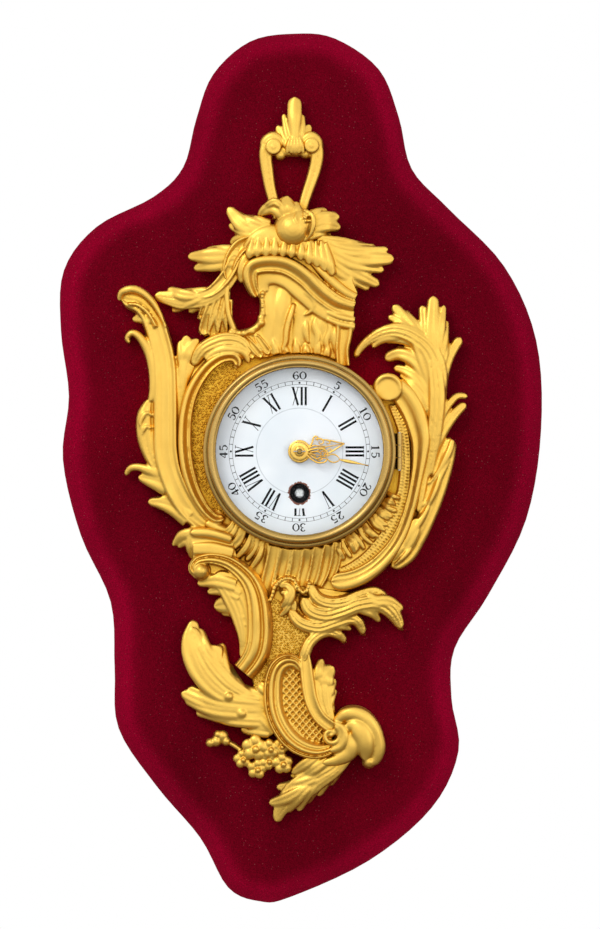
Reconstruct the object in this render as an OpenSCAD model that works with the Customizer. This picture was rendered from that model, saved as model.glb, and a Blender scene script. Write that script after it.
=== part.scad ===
// Cartel clock of gilt bronze on a velvet-covered board that hangs on a wall.
// Millimetres, +Z up, the front looks towards -Y, the wall is the plane Y = 0
// and the dial's axis runs through the origin.

/* [Board] */
// Thickness of the wooden board
board_t = 18; // [17:0.5:24]
// Thickness left at the board's rim
board_rim_t = 8; // [5:0.5:12]
// Width of the sloping border
border_w = 14; // [10:0.5:18]
// Thickness of the velvet
velvet_t = 1; // [0.6:0.1:2]
// Height of the hanger hole above the dial's axis
hanger_z = 172; // [150:1:185]
// Radius of the hanger hole
hanger_hole_r = 3; // [2:0.25:4]
// Thickness of the hanger plate
hanger_t = 2; // [1.5:0.25:3]
// Radius of the screws that hold the case on the board
case_screw_r = 1.6; // [1.2:0.1:2]

/* [Case and bezel] */
// Radius of the dial that shows
dial_view_r = 41.5; // [41:0.5:46]
// Width of the bezel's moulding
bezel_w = 6.5; // [5.5:0.25:8]
// Depth of the bezel, front to back
bezel_d = 9; // [8:0.5:12]
// Thickness of the glass
glass_t = 2; // [1.5:0.25:2.5]
// Rise of the domed glass
glass_rise = 3; // [2:0.25:4]
// How far the dial reaches under the bezel
dial_lap = 1.5; // [1:0.25:2]
// Thickness of the enamel dial
dial_t = 1.4; // [1:0.1:2]
// Radius of the hole for the winding key
key_hole_r = 5; // [4:0.25:6]
// Side of the winding square
key_square = 3; // [2.5:0.25:3.5]
// Height of the case's ledge above the velvet
ledge_h = 7.6; // [7:0.2:9]
// Width of the ledge that carries the movement
ledge_w = 3; // [2.5:0.25:3.5]
// Thickness of the ground plate between the scrolls
ground_t = 7; // [5:0.5:9]
// Radius of the bezel's hinge pin
hinge_pin_r = 0.8; // [0.6:0.1:1]
// Radius of the bezel's hinge knuckles
knuckle_r = 1.6; // [1.5:0.1:2]
// Length of the hinge, both case knuckles and the bezel's own
hinge_l = 18; // [14:1:24]

/* [Movement] */
// Thickness of the movement's plates
plate_t = 1.6; // [1.2:0.1:2]
// Length of the pillars between the plates
pillar_l = 18.5; // [18.5:0.25:19.5]
// Radius of the pillars
pillar_r = 2.5; // [2:0.25:3]
// Room between the front plate and the dial
motion_room = 6.4; // [6.4:0.2:8]
// Room between the barrel's teeth and the edge of the back plate
barrel_edge_gap = 1.1; // [0.9:0.1:2]
// Radius of the wheel arbors
arbor_r = 1; // [0.8:0.05:1.1]
// Thickness of the hands
hand_t = 1; // [0.8:0.1:1.2]
// Length of the minute hand
minute_l = 35; // [30:0.5:38]
// Length of the hour hand
hour_l = 23; // [19:0.5:25]
// Thickness of the train wheels
wheel_t = 1.2; // [1:0.1:1.3]
// Height of the barrel
barrel_h = 11; // [10:0.5:11.5]

/* [Clearances] */
// Running clearance of a shaft in its hole
run_gap = 0.05; // [0.02:0.01:0.08]
// Gap between pieces that move past each other
part_gap = 0.3; // [0.3:0.05:0.5]

/* [Hidden] */
$fn = 48;

// Depths are measured from the wall towards the viewer
velvet_z = board_t + velvet_t;
front_plate_z = velvet_z + ledge_h;
front_plate_top = front_plate_z + plate_t;
back_plate_top = front_plate_z - pillar_l;
back_plate_z = back_plate_top - plate_t;
back_room = 2.5;
recess_z = back_plate_z - back_room;
dial_z = front_plate_top + motion_room;
dial_top = dial_z + dial_t;
ring_top = dial_top + 0.7;
bezel_z = ring_top + part_gap;
bezel_top = bezel_z + bezel_d;
hour_hand_z = dial_top + 1.2;
minute_hand_z = hour_hand_z + hand_t + 1.2;
collet_z = minute_hand_z + hand_t;
collet_h = 1.2;
pin_z = collet_z + collet_h + 0.5;

// Radii about the dial's axis
bezel_r = dial_view_r + bezel_w;
dial_r = dial_view_r + dial_lap;
ring_in_r = dial_r + part_gap;
ring_r = bezel_r - 0.8;
ledge_in_r = ring_in_r - ledge_w;
back_plate_r = ledge_in_r - 0.7;
glass_r = dial_view_r + 2.2;
hinge_x = bezel_r + 1.5;
hinge_z = bezel_z + 1.5;
bezel_knuckle_l = hinge_l / 3;

// The barrel is as large as the back plate allows, and that sets the winding arbor's place
barrel_n = 60;
centre_pinion_n = 12;
tooth_tip = 0.8;
winding_drop = (back_plate_r - barrel_edge_gap) / (1 + (barrel_n + 2 * tooth_tip) / (barrel_n + centre_pinion_n));

// The castings and the board are drawn for a bezel of radius 48 and grow with the real one
ornament_scale = bezel_r / 48;
gold = "goldenrod";
brass = "darkkhaki";
steel = "lightsteelblue";

// Stands a drawing (x right, y up, z towards the viewer) on the wall
module on_wall() rotate([90, 0, 0]) children();

// A round bar along the viewing direction
module bar(x, y, r, z0, z1, sides = 48)
    translate([x, y, z0]) cylinder(r = r, h = z1 - z0, $fn = sides);

// A point of the drawing, moved out with the bezel
function spread(p) = p * ornament_scale;

// Point on the smooth curve through four neighbouring knots
function knot(p, i) = p[max(0, min(len(p) - 1, i))];
function between(a, b, c, d, t) =
    0.5 * (2 * b + (c - a) * t + (2 * a - 5 * b + 4 * c - d) * t * t
        + (3 * b - a - 3 * c + d) * t * t * t);
// Smooth open curve through the knots, n steps to a span
function smooth(p, n) = concat(
    [for (i = [0:len(p) - 2], k = [0:n - 1])
        between(knot(p, i - 1), p[i], p[i + 1], knot(p, i + 2), k / n)],
    [p[len(p) - 1]]);
// Smooth closed curve through the knots
function smooth_ring(p, n) = let (m = len(p))
    [for (i = [0:m - 1], k = [0:n - 1])
        between(p[(i + m - 1) % m], p[i], p[(i + 1) % m], p[(i + 2) % m], k / n)];
// Point a share t along a list of points or numbers
function along(p, t) = let (s = t * (len(p) - 1), i = min(floor(s), len(p) - 2))
    p[i] + (p[i + 1] - p[i]) * (s - i);
// Direction of a route at its point i
function heading(p, i) = let (d = knot(p, i + 1) - knot(p, i - 1)) d / norm(d);
// Closed outline moved inwards by d, for an outline drawn clockwise
function inset_ring(p, d) = let (m = len(p))
    [for (i = [0:m - 1])
        let (u = p[(i + 1) % m] - p[(i + m - 1) % m], w = u / norm(u)) p[i] + d * [w.y, -w.x]];

// Ridged moulding, as a share of its width and height
moulding = [[-0.5, 0], [-0.26, 1], [0.26, 1], [0.5, 0]];
function section(p, dir, w, h) =
    [for (q = moulding) [p.x - dir.y * q.x * w, p.y + dir.x * q.x * w, q.y * h]];
module loft(a, b) let (m = len(a)) hull()
    polyhedron(points = concat(a, b), faces = [[for (i = [0:m - 1]) i], [for (i = [0:m - 1]) m + i]]);
// Casting that stands on the velvet and grows with the bezel
module cast() on_wall() translate([0, 0, velvet_z]) scale(ornament_scale) children();
// Cast strip along a route; widths and heights are lists read evenly along it
module strip(p, widths, heights) {
    last = len(p) - 1;
    s = [for (i = [0:last])
        section(p[i], heading(p, i), along(widths, i / last), along(heights, i / last))];
    for (i = [0:last - 1]) loft(s[i], s[i + 1]);
}
// Domed button
module boss(c, r, h, sides = 20) translate(c) {
    cylinder(r = r, h = h * 0.6, $fn = sides);
    translate([0, 0, h * 0.6]) scale([1, 1, h * 0.4 / r]) sphere(r = r, $fn = sides);
}
// Flat panel between the mouldings
module panel(outline, h) linear_extrude(h) polygon(outline);

// A leaf is a fan of lobes that leave one midrib and end in its tips
lobe_steps = 3;
lobe_widths = [0.55, 0.9, 0.95, 0.2];
function nearest(rib, tip) = let (d = [for (k = [0:8]) norm(along(rib, k / 8) - tip)])
    [for (k = [0:8]) if (d[k] == min(d)) k / 8][0];
function lobe(rib, tip) =
    let (f = nearest(rib, tip), a = along(rib, max(0, f - 0.55)), b = along(rib, max(0.1, f - 0.15)))
    [for (k = [0:lobe_steps]) let (t = k / lobe_steps) a * (1 - t) * (1 - t) + 2 * b * t * (1 - t) + tip * t * t];
module leaf(rib, tips, w, h0, h1) {
    strip(smooth(rib, 2), lobe_widths * w, [h0, h0 * 1.08, (h0 + h1) / 2, h1]);
    for (t = tips) strip(lobe(rib, t), lobe_widths * w * 0.85, [h0 * 0.9, h0, (h0 + h1) / 2, h1]);
}

// Outline of the velvet-covered board, clockwise from the top
board_outline = [[-2.5, 210], [18, 207.5], [40, 192], [50, 168], [56.5, 142], [75, 122], [103, 93],
    [119, 56], [121.5, 11], [114, -34], [95, -72], [78, -99], [76.5, -124], [80, -150.5],
    [66.5, -179], [35, -205.5], [-5, -224], [-20, -226], [-36, -219], [-50, -194], [-72, -168],
    [-91, -139], [-93, -109], [-95, -75.5], [-110, -42], [-119, -4], [-116, 28], [-120, 61],
    [-118.5, 91], [-102, 113], [-73.5, 128], [-58.5, 143], [-52, 167], [-43.5, 189.5], [-25, 206]];
// The outline moved inwards by d
function board_ring(d) = smooth_ring(inset_ring([for (p = board_outline) spread(p)], d), 3);

// Block with an upright rim and a sloping border, which is let into the rim and the flat middle
border_tenon = 2;
module bevelled(inset, z0, rim_z, top_z) {
    translate([0, 0, z0]) linear_extrude(rim_z - z0) polygon(board_ring(inset));
    translate([0, 0, rim_z - border_tenon]) linear_extrude(top_z - rim_z + border_tenon)
        polygon(board_ring(inset + border_w));
    steps = [[0, rim_z], [border_w * 0.5, rim_z + (top_z - rim_z) * 0.75], [border_w, top_z],
        [border_w + border_tenon, top_z - border_tenon], [border_w + border_tenon, rim_z - border_tenon],
        [border_tenon, rim_z - border_tenon]];
    rings = [for (q = steps) board_ring(inset + q.x)];
    m = len(rings[0]);
    polyhedron(points = [for (k = [0:len(steps) - 1], p = rings[k]) [p.x, p.y, steps[k].y]],
        faces = [for (k = [0:len(steps) - 1], i = [0:m - 1], h = [0, 1])
            let (j = (i + 1) % m, a = k * m, b = (k + 1) % len(steps) * m)
                h == 0 ? [a + i, a + j, b + j] : [a + i, b + j, b + i]]);
}

// Screws from the back of the board into the castings
case_screw_at = (ring_in_r + ring_r) / 2 - 0.25;
case_screw_spots = concat([for (a = [45, 135, 225, 315]) case_screw_at * [cos(a), sin(a)]],
    [spread([-3, 110]), spread([31, -146])]);
case_screw_depth = 5;
screw_head_r = 3.2;
screw_head_h = 2.4;
hanger_w = 36;
hanger_h = 16;
hanger_screw_x = 12;
hanger_screw_r = 1.5;
hanger_pocket = 9;

module hanger_outline(grow)
    translate([-hanger_w / 2 - grow, hanger_z - hanger_h / 2 - grow])
        square([hanger_w + 2 * grow, hanger_h + 2 * grow]);

module wood_board() color("saddlebrown") on_wall() difference() {
    bevelled(velvet_t, 0, board_rim_t, board_t);
    bar(0, 0, ledge_in_r, recess_z, velvet_z);
    translate([0, 0, -1]) linear_extrude(hanger_t + 1) hanger_outline(0);
    bar(0, hanger_z, hanger_hole_r + 2, 0, hanger_pocket);
    for (s = [-1, 1]) bar(s * hanger_screw_x, hanger_z, hanger_screw_r, 0, hanger_pocket);
    for (p = case_screw_spots) {
        bar(p.x, p.y, case_screw_r + part_gap, -1, velvet_z);
        bar(p.x, p.y, screw_head_r + part_gap, -1, screw_head_h + 0.5);
    }
}
module velvet_cover() color("firebrick") on_wall() difference() {
    bevelled(0, 0.5, board_rim_t + velvet_t, velvet_z);
    bevelled(velvet_t, 0, board_rim_t, board_t);
    bar(0, 0, ledge_in_r, board_t - 1, velvet_z + 1);
    for (p = case_screw_spots) bar(p.x, p.y, case_screw_r + part_gap, board_t - 1, velvet_z + 1);
}
module hanger_plate() color("silver") on_wall() difference() {
    linear_extrude(hanger_t) hanger_outline(-0.2);
    bar(0, hanger_z, hanger_hole_r, -1, hanger_t + 1);
    for (s = [-1, 1]) bar(s * hanger_screw_x, hanger_z, hanger_screw_r + part_gap, -1, hanger_t + 1);
}
module hanger_screws() color(steel) on_wall() for (s = [-1, 1])
    bar(s * hanger_screw_x, hanger_z, hanger_screw_r, 0, hanger_pocket);
module case_screws() color(steel) on_wall() for (p = case_screw_spots) {
    bar(p.x, p.y, screw_head_r, 0.5, 0.5 + screw_head_h);
    bar(p.x, p.y, case_screw_r, 0.5, velvet_z + case_screw_depth);
}

// Case: a drum for the movement on a ground plate that the scrolls edge
ground_left = [[-39, -35], [-49, -29], [-56, -13], [-59, 6], [-55, 26], [-46, 42], [-33, 47]];
ground_right = [[44, 34], [51, 30], [58, 17], [61, 3], [58, -17], [51, -36], [38, -53], [21, -63]];
module ground_outline() polygon([for (p = concat(ground_left, [[-18, 50], [0, 53], [20, 50]],
    ground_right, [[-8, -60], [-28, -50]])) spread(p)]);
movement_screw_r = 1;
movement_screw_at = ring_in_r - ledge_w / 2;
movement_screw_angles = [10, 130, 250];
module case_body() color(gold) on_wall() difference() {
    union() {
        bar(0, 0, ring_r, velvet_z, ring_top, 96);
        translate([0, 0, velvet_z]) linear_extrude(ground_t) ground_outline();
    }
    bar(0, 0, ledge_in_r, velvet_z - 1, ring_top, 96);
    bar(0, 0, ring_in_r, front_plate_z, ring_top + 1, 96);
    for (a = movement_screw_angles) rotate(a) bar(movement_screw_at, 0, movement_screw_r, velvet_z + 1, ring_top);
    for (p = case_screw_spots) bar(p.x, p.y, case_screw_r, velvet_z - 1, velvet_z + case_screw_depth);
    translate([-ring_r - 1, -3, ring_top - catch_d - part_gap]) cube([ring_r - ring_in_r, 6, 10]);
}
module movement_screws() color(steel) on_wall() for (a = movement_screw_angles) rotate(a) {
    bar(movement_screw_at, 0, movement_screw_r, velvet_z + 2, front_plate_top + 1);
    bar(movement_screw_at, 0, 1.5, front_plate_top, front_plate_top + 1);
}

// Bezel on its hinge, with the domed glass
module upright_bar(r, y0, y1) translate([hinge_x, y0, hinge_z]) rotate([-90, 0, 0]) cylinder(r = r, h = y1 - y0);
module case_hinge() color(gold) on_wall() for (s = [0, 1]) mirror([0, s, 0]) difference() {
    y0 = bezel_knuckle_l / 2 + part_gap;
    union() {
        upright_bar(knuckle_r, y0, hinge_l / 2);
        translate([bezel_r + 0.4, y0, ring_top - 4]) cube([knuckle_r + 1.1, hinge_l / 2 - y0, hinge_z - ring_top + 4]);
        translate([ring_r - 1.2, y0, ring_top - 4]) cube([3.2, hinge_l / 2 - y0, 3.9]);
    }
    upright_bar(hinge_pin_r, -hinge_l, hinge_l);
}
module hinge_pin() color(steel) on_wall() upright_bar(hinge_pin_r, -hinge_l / 2 - 0.5, hinge_l / 2 + 0.5);
lip_t = 1.8;
glass_z = bezel_top - lip_t - glass_t;
module bezel_ring() color("peru") on_wall() difference() {
    union() {
        rotate_extrude($fn = 96) polygon([[dial_view_r + 2.5, bezel_z], [bezel_r - 0.5, bezel_z],
            [bezel_r, bezel_z + 1], [bezel_r, bezel_z + bezel_d * 0.45], [bezel_r - 1, bezel_z + bezel_d * 0.62],
            [bezel_r - 2, bezel_z + bezel_d * 0.62], [bezel_r - 2.6, bezel_top - 0.6], [bezel_r - 3.6, bezel_top],
            [dial_view_r + 1.2, bezel_top], [dial_view_r, bezel_top - lip_t * 0.7],
            [dial_view_r, bezel_top - lip_t], [dial_view_r + 2.5, bezel_top - lip_t]]);
        translate([bezel_r - 1.5, -bezel_knuckle_l / 2, bezel_z]) cube([3, bezel_knuckle_l, hinge_z - bezel_z]);
        upright_bar(knuckle_r, -bezel_knuckle_l / 2, bezel_knuckle_l / 2);
    }
    upright_bar(hinge_pin_r + run_gap, -hinge_l, hinge_l);
}
dome_r = ((dial_view_r - 0.3) * (dial_view_r - 0.3) + glass_rise * glass_rise) / (2 * glass_rise);
module glass() color("lightcyan") on_wall() {
    dome_z = glass_z + glass_t + glass_rise - dome_r;
    intersection() {
        difference() {
            union() {
                translate([0, 0, dome_z]) sphere(r = dome_r, $fn = 96);
                bar(0, 0, glass_r, glass_z, glass_z + glass_t);
            }
            translate([0, 0, dome_z - glass_t]) sphere(r = dome_r, $fn = 96);
        }
        bar(0, 0, glass_r, glass_z, glass_z + glass_t + glass_rise + 1);
    }
}
module glass_retaining_ring() color(brass) on_wall() difference() {
    bar(0, 0, dial_view_r + 2.4, glass_z - 1.8, glass_z);
    bar(0, 0, dial_view_r + 0.6, glass_z - 2, glass_z + 1);
}
catch_d = 2.4;
module bezel_catch() color(brass) on_wall() translate([-(ring_r + ring_in_r) / 2 - 0.6, -2, ring_top - catch_d])
    cube([1.2, 4, catch_d + bezel_z - ring_top]);

// Dial and hands
hour_pipe_r = 2.6;
winding = [0, -winding_drop];
dial_foot_r = 1.25;
dial_foot_at = 30;
dial_foot_angles = [65, 165, 285];
dial_foot_l = 4;
module enamel_dial() color("white") on_wall() {
    difference() {
        bar(0, 0, dial_r, dial_z, dial_top, 96);
        bar(0, 0, hour_pipe_r + part_gap, dial_z - 1, dial_top + 1);
        bar(winding.x, winding.y, key_hole_r, dial_z - 1, dial_top + 1);
    }
    for (a = dial_foot_angles) rotate(a)
        bar(dial_foot_at, 0, dial_foot_r, front_plate_z - dial_foot_l / 2, dial_z);
}
minute_angle = -11.6;
hour_angle = 10;
hub_r = 5.7;
// Half of a pierced hand, as shares of its length and as a width in millimetres
hand_side = [[0.2, 1.6], [0.27, 3.4], [0.38, 3.6], [0.47, 2], [0.55, 3], [0.64, 2.4], [0.72, 1]];
module hand_blade(l, point_w) difference() {
    polygon(concat([[0, 2]], [for (q = hand_side) [q.x * l, q.y]], [[l, point_w], [l, -point_w]],
        [for (i = [len(hand_side) - 1:-1:0]) [hand_side[i].x * l, -hand_side[i].y]], [[0, -2]]));
    translate([0.33 * l, 1.7]) circle(r = 1, $fn = 24);
    translate([0.33 * l, -1.7]) circle(r = 1, $fn = 24);
    translate([0.58 * l, 0]) circle(r = 1, $fn = 24);
}
module hand(l, point_w, z, boss_r, bore_r) difference() {
    union() {
        translate([0, 0, z]) linear_extrude(hand_t) hand_blade(l, point_w);
        bar(0, 0, boss_r, z, z + hand_t);
    }
    bar(0, 0, bore_r, z - 1, z + hand_t + 1);
}
cannon_pipe_r = 1.6;
module hour_hand() color(gold) on_wall() rotate(hour_angle)
    hand(hour_l, 0.4, hour_hand_z, hub_r, hour_pipe_r);
module minute_hand() color(gold) on_wall() rotate(minute_angle)
    hand(minute_l, 0.3, minute_hand_z, hub_r * 0.8, cannon_pipe_r);
module hand_collet() color(gold) on_wall() difference() {
    bar(0, 0, 2.5, collet_z, collet_z + collet_h);
    bar(0, 0, arbor_r + run_gap, collet_z - 1, collet_z + collet_h + 1);
}
module taper_pin() color(steel) on_wall() translate([-3, 0, pin_z]) rotate([0, 90, 0]) cylinder(r = 0.35, h = 6);

// Wheels of the train and of the motion work: round-shouldered, slim teeth
function pitch_r(teeth, m) = teeth * m / 2;
tooth_root = 1.25;
function tooth(r, a, teeth, m) = let (p = 180 / teeth)
    [for (q = [[-tooth_root, -0.5], [0, -0.34], [tooth_tip, -0.12], [tooth_tip, 0.12], [0, 0.34], [-tooth_root, 0.5]])
        (r + q.x * m) * [cos(a + q.y * p), sin(a + q.y * p)]];
module toothed(teeth, m) polygon([for (k = [0:teeth - 1]) each tooth(pitch_r(teeth, m), k * 360 / teeth, teeth, m)]);
// Turn that puts a follower's gap on its driver's tooth, seen in direction d
function mesh_turn(d, driver_turn, driver, follower) =
    d + 180 + 180 / follower - (driver_turn - d) * driver / follower;
module pinion(c, turn, teeth, m, z0, z1) translate([c.x, c.y, z0]) linear_extrude(z1 - z0)
    rotate(turn) toothed(teeth, m);
// Wheel crossed out with four arms
module wheel(c, turn, teeth, m, z, t) translate([c.x, c.y, z]) linear_extrude(t) rotate(turn) {
    r = pitch_r(teeth, m);
    difference() {
        toothed(teeth, m);
        circle(r = r * 0.78);
    }
    for (k = [0:3]) rotate(k * 90) translate([0, -0.9]) square([r * 0.8, 1.8]);
    circle(r = 2.4);
}
pivot_r = 0.6;
// Arbor between the plates with a pivot in each
module arbor(c, r) {
    bar(c.x, c.y, r, back_plate_top + part_gap, front_plate_z - part_gap);
    bar(c.x, c.y, pivot_r, back_plate_z, front_plate_top);
}

// Tooth counts and modules: barrel, centre, third, fourth, escape
barrel_m = 2 * winding_drop / (barrel_n + centre_pinion_n);
centre_n = 64;
third_pinion_n = 8;
third_m = 0.42;
third_dir = 60;
third = third_m * (centre_n + third_pinion_n) / 2 * [cos(third_dir), sin(third_dir)];
third_n = 60;
fourth_pinion_n = 8;
fourth_m = 0.36;
fourth_dir = 150;
fourth = third + fourth_m * (third_n + fourth_pinion_n) / 2 * [cos(fourth_dir), sin(fourth_dir)];
fourth_n = 70;
escape_pinion_n = 7;
escape_m = 0.26;
escape_dir = 180;
escape = fourth + escape_m * (fourth_n + escape_pinion_n) / 2 * [cos(escape_dir), sin(escape_dir)];
lever_dir = 215;
lever_at = escape + 5.6 * [cos(lever_dir), sin(lever_dir)];
balance_at = escape + 13.1 * [cos(lever_dir), sin(lever_dir)];
barrel_turn = mesh_turn(270, 0, centre_pinion_n, barrel_n);
third_turn = mesh_turn(third_dir, 0, centre_n, third_pinion_n);
fourth_turn = mesh_turn(fourth_dir, third_turn, third_n, fourth_pinion_n);
escape_turn = mesh_turn(escape_dir, fourth_turn, fourth_n, escape_pinion_n);

// Levels of the train, measured from the back plate
barrel_z = back_plate_top + 0.9;
barrel_teeth_t = 2;
centre_wheel_z = barrel_z + barrel_h + 2.5;
third_wheel_z = back_plate_top + 6.9;
fourth_wheel_z = back_plate_top + 10.9;
escape_wheel_z = back_plate_top + 3.9;
balance_z = back_plate_top + 8;
hairspring_z = back_plate_top + 12;
escape_tip_r = 4;

pillar_edge = 0.5;
pillar_at = back_plate_r - pillar_r - pillar_edge;
pillar_angles = [30, 100, 200, 325];
pillar_screw_r = 1.2;
module at_pillars() for (a = pillar_angles) rotate(a) translate([pillar_at, 0, 0]) children();
module pivot_holes(z) for (p = [[0, 0], third, fourth, escape, lever_at, balance_at])
    bar(p.x, p.y, pivot_r + run_gap, z - 1, z + plate_t + 1);
module plate(r, z) difference() {
    bar(0, 0, r, z, z + plate_t, 96);
    pivot_holes(z);
    bar(winding.x, winding.y, winding_arbor_r + run_gap, z - 1, z + plate_t + 1);
    at_pillars() bar(0, 0, pillar_screw_r, z - 1, z + plate_t + 1);
}
winding_arbor_r = 2.6;
module front_plate() color(brass) on_wall() difference() {
    plate(dial_r, front_plate_z);
    bar(0, 0, arbor_r + run_gap, front_plate_z - 1, front_plate_top + 1);
    for (a = dial_foot_angles) rotate(a)
        bar(dial_foot_at, 0, dial_foot_r + run_gap, front_plate_z - 1, front_plate_top + 1);
    for (a = movement_screw_angles) rotate(a)
        bar(movement_screw_at, 0, movement_screw_r + run_gap, front_plate_z - 1, front_plate_top + 1);
    for (p = [minute_wheel_at, click_at]) bar(p.x, p.y, stud_r, front_plate_z - 1, front_plate_top + 1);
    bar(click_spring_at.x, click_spring_at.y, 0.8, front_plate_z - 1, front_plate_top + 1);
}
module back_plate() color(brass) on_wall() plate(back_plate_r, back_plate_z);
module pillars() color(brass) on_wall() at_pillars() difference() {
    bar(0, 0, pillar_r, back_plate_top, front_plate_z);
    bar(0, 0, pillar_screw_r, back_plate_top - 1, back_plate_top + 5);
    bar(0, 0, pillar_screw_r, front_plate_z - 5, front_plate_z + 1);
}
module pillar_screws() color(steel) on_wall() at_pillars() {
    bar(0, 0, pillar_r, back_plate_z - 1.2, back_plate_z);
    bar(0, 0, pillar_screw_r, back_plate_z - 1.2, back_plate_top + 4);
    bar(0, 0, pillar_r, front_plate_top, front_plate_top + 1.2);
    bar(0, 0, pillar_screw_r, front_plate_z - 4, front_plate_top + 1.2);
}

// Going barrel with its mainspring, arbor and ratchet
barrel_r = pitch_r(barrel_n, barrel_m);
barrel_wall = 1.2;
barrel_cap_t = 1;
module barrel() color(brass) on_wall() difference() {
    union() {
        pinion(winding, barrel_turn, barrel_n, barrel_m, barrel_z, barrel_z + barrel_teeth_t);
        bar(winding.x, winding.y, barrel_r - 1.5 * barrel_m, barrel_z, barrel_z + barrel_h);
    }
    bar(winding.x, winding.y, barrel_r - 1.5 * barrel_m - barrel_wall, barrel_z + 1.4, barrel_z + barrel_h + 1);
    bar(winding.x, winding.y, winding_arbor_r + run_gap, barrel_z - 1, barrel_z + 2);
}
module barrel_cap() color(brass) on_wall() difference() {
    bar(winding.x, winding.y, barrel_r - 1.5 * barrel_m - barrel_wall, barrel_z + barrel_h - barrel_cap_t, barrel_z + barrel_h);
    bar(winding.x, winding.y, winding_arbor_r + run_gap, barrel_z, barrel_z + barrel_h + 1);
}
module barrel_arbor() color(steel) on_wall() {
    bar(winding.x, winding.y, winding_arbor_r, back_plate_z, front_plate_top + 0.2);
    translate([winding.x - key_square / 2, winding.y - key_square / 2, front_plate_top])
        cube([key_square, key_square, dial_top + 0.3 - front_plate_top]);
}
spring_turns = 6;
spring_t = 0.4;
spring_in_r = winding_arbor_r + 1;
spring_out_r = barrel_r - 1.5 * barrel_m - barrel_wall - 0.1;
function coil(turns, r0, r1, n) = [for (k = [0:turns * n]) let (t = k / (turns * n), r = r0 + (r1 - r0) * t)
    r * [cos(k * 360 / n), sin(k * 360 / n)]];
// Flat ribbon wound into a coil
module ribbon(turns, r0, r1, t, n) let (a = coil(turns, r0, r1 - t, n), b = coil(turns, r0 + t, r1, n))
    polygon(concat(a, [for (i = [len(b) - 1:-1:0]) b[i]]));
module mainspring() color(steel) on_wall() translate([winding.x, winding.y, barrel_z + 1.7])
    linear_extrude(barrel_h - barrel_cap_t - 2) ribbon(spring_turns, spring_in_r, spring_out_r, spring_t, 24);
ratchet_n = 20;
ratchet_r = 7.5;
ratchet_t = 1.6;
ratchet_z = front_plate_top + 0.4;
module ratchet_wheel() color(steel) on_wall() translate([winding.x, winding.y, ratchet_z]) linear_extrude(ratchet_t)
    difference() {
        polygon([for (k = [0:ratchet_n - 1], q = [[0, 1], [0.75, 0.86]])
            ratchet_r * q.y * [cos((k + q.x) * 360 / ratchet_n), sin((k + q.x) * 360 / ratchet_n)]]);
        translate([-key_square / 2, -key_square / 2]) square(key_square);
    }
stud_r = 1;
click_at = winding + [12, -3.4];
click_spring_at = click_at + [6, 6.3];
click_nose = 12.47 - ratchet_r - 0.4;
click_angle = 164;
module click() color(steel) on_wall() translate([click_at.x, click_at.y, ratchet_z]) difference() {
    union() {
        bar(0, 0, 2.2, 0, ratchet_t);
        rotate(click_angle) linear_extrude(ratchet_t)
            polygon([[0, 2], [click_nose, 0.7], [click_nose, -0.4], [0, -2]]);
        rotate(70) translate([0, -0.7, 0]) cube([4, 1.4, ratchet_t]);
    }
    bar(0, 0, stud_r + run_gap, -1, ratchet_t + 1);
}
module headed_stud(p, z1) {
    bar(p.x, p.y, stud_r, front_plate_z, z1 + 1);
    bar(p.x, p.y, stud_r + 0.7, z1 + 0.15, z1 + 1);
}
module click_screw() color(steel) on_wall() headed_stud(click_at, ratchet_z + ratchet_t);
module click_spring() color(steel) on_wall() {
    bar(click_spring_at.x, click_spring_at.y, 0.8, front_plate_z, ratchet_z + 1.2);
    translate([click_spring_at.x, click_spring_at.y, ratchet_z + 0.4]) linear_extrude(0.8)
        rotate(197) translate([0, -0.25]) square([5.6, 0.5]);
}

// Train wheels, each on its arbor
module centre_wheel() color(brass) on_wall() {
    wheel([0, 0], 0, centre_n, third_m, centre_wheel_z, wheel_t);
    pinion([0, 0], 0, centre_pinion_n, barrel_m, barrel_z - 0.2, barrel_z + barrel_teeth_t + 0.4);
    bar(0, 0, arbor_r, back_plate_top + part_gap, pin_z + 0.8);
    bar(0, 0, pivot_r, back_plate_z, back_plate_top + 1);
}
module third_wheel() color(brass) on_wall() {
    pinion(third, third_turn, third_pinion_n, third_m, centre_wheel_z - 0.5, centre_wheel_z + wheel_t + 0.5);
    wheel(third, third_turn, third_n, fourth_m, third_wheel_z, wheel_t);
    arbor(third, arbor_r * 0.8);
}
module fourth_wheel() color(brass) on_wall() {
    pinion(fourth, fourth_turn, fourth_pinion_n, fourth_m, third_wheel_z - 0.5, third_wheel_z + wheel_t + 0.5);
    wheel(fourth, fourth_turn, fourth_n, escape_m, fourth_wheel_z, wheel_t);
    arbor(fourth, arbor_r * 0.8);
}
escape_n = 15;
module escape_wheel() color(steel) on_wall() {
    pinion(escape, escape_turn, escape_pinion_n, escape_m, fourth_wheel_z - 0.5, fourth_wheel_z + wheel_t + 0.5);
    translate([escape.x, escape.y, escape_wheel_z]) linear_extrude(0.8)
        polygon([for (k = [0:escape_n - 1], q = [[0, 1], [0.35, 0.8], [0.75, 0.8]])
            escape_tip_r * q.y * [cos((k + q.x) * 360 / escape_n), sin((k + q.x) * 360 / escape_n)]]);
    arbor(escape, 0.7);
}
module pallet_lever() color(steel) on_wall() {
    translate([lever_at.x, lever_at.y, escape_wheel_z]) linear_extrude(0.8) rotate(lever_dir) {
        circle(r = 1.2);
        translate([0, -0.5]) square([4.6, 1]);
        for (s = [-1, 1]) polygon([[0.8, s * 0.2], [-1.6, s * 4.2], [-2.6, s * 4.4], [-2.2, s * 3.7], [-0.8, s * 0.2]]);
    }
    arbor(lever_at, 0.6);
}
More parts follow.
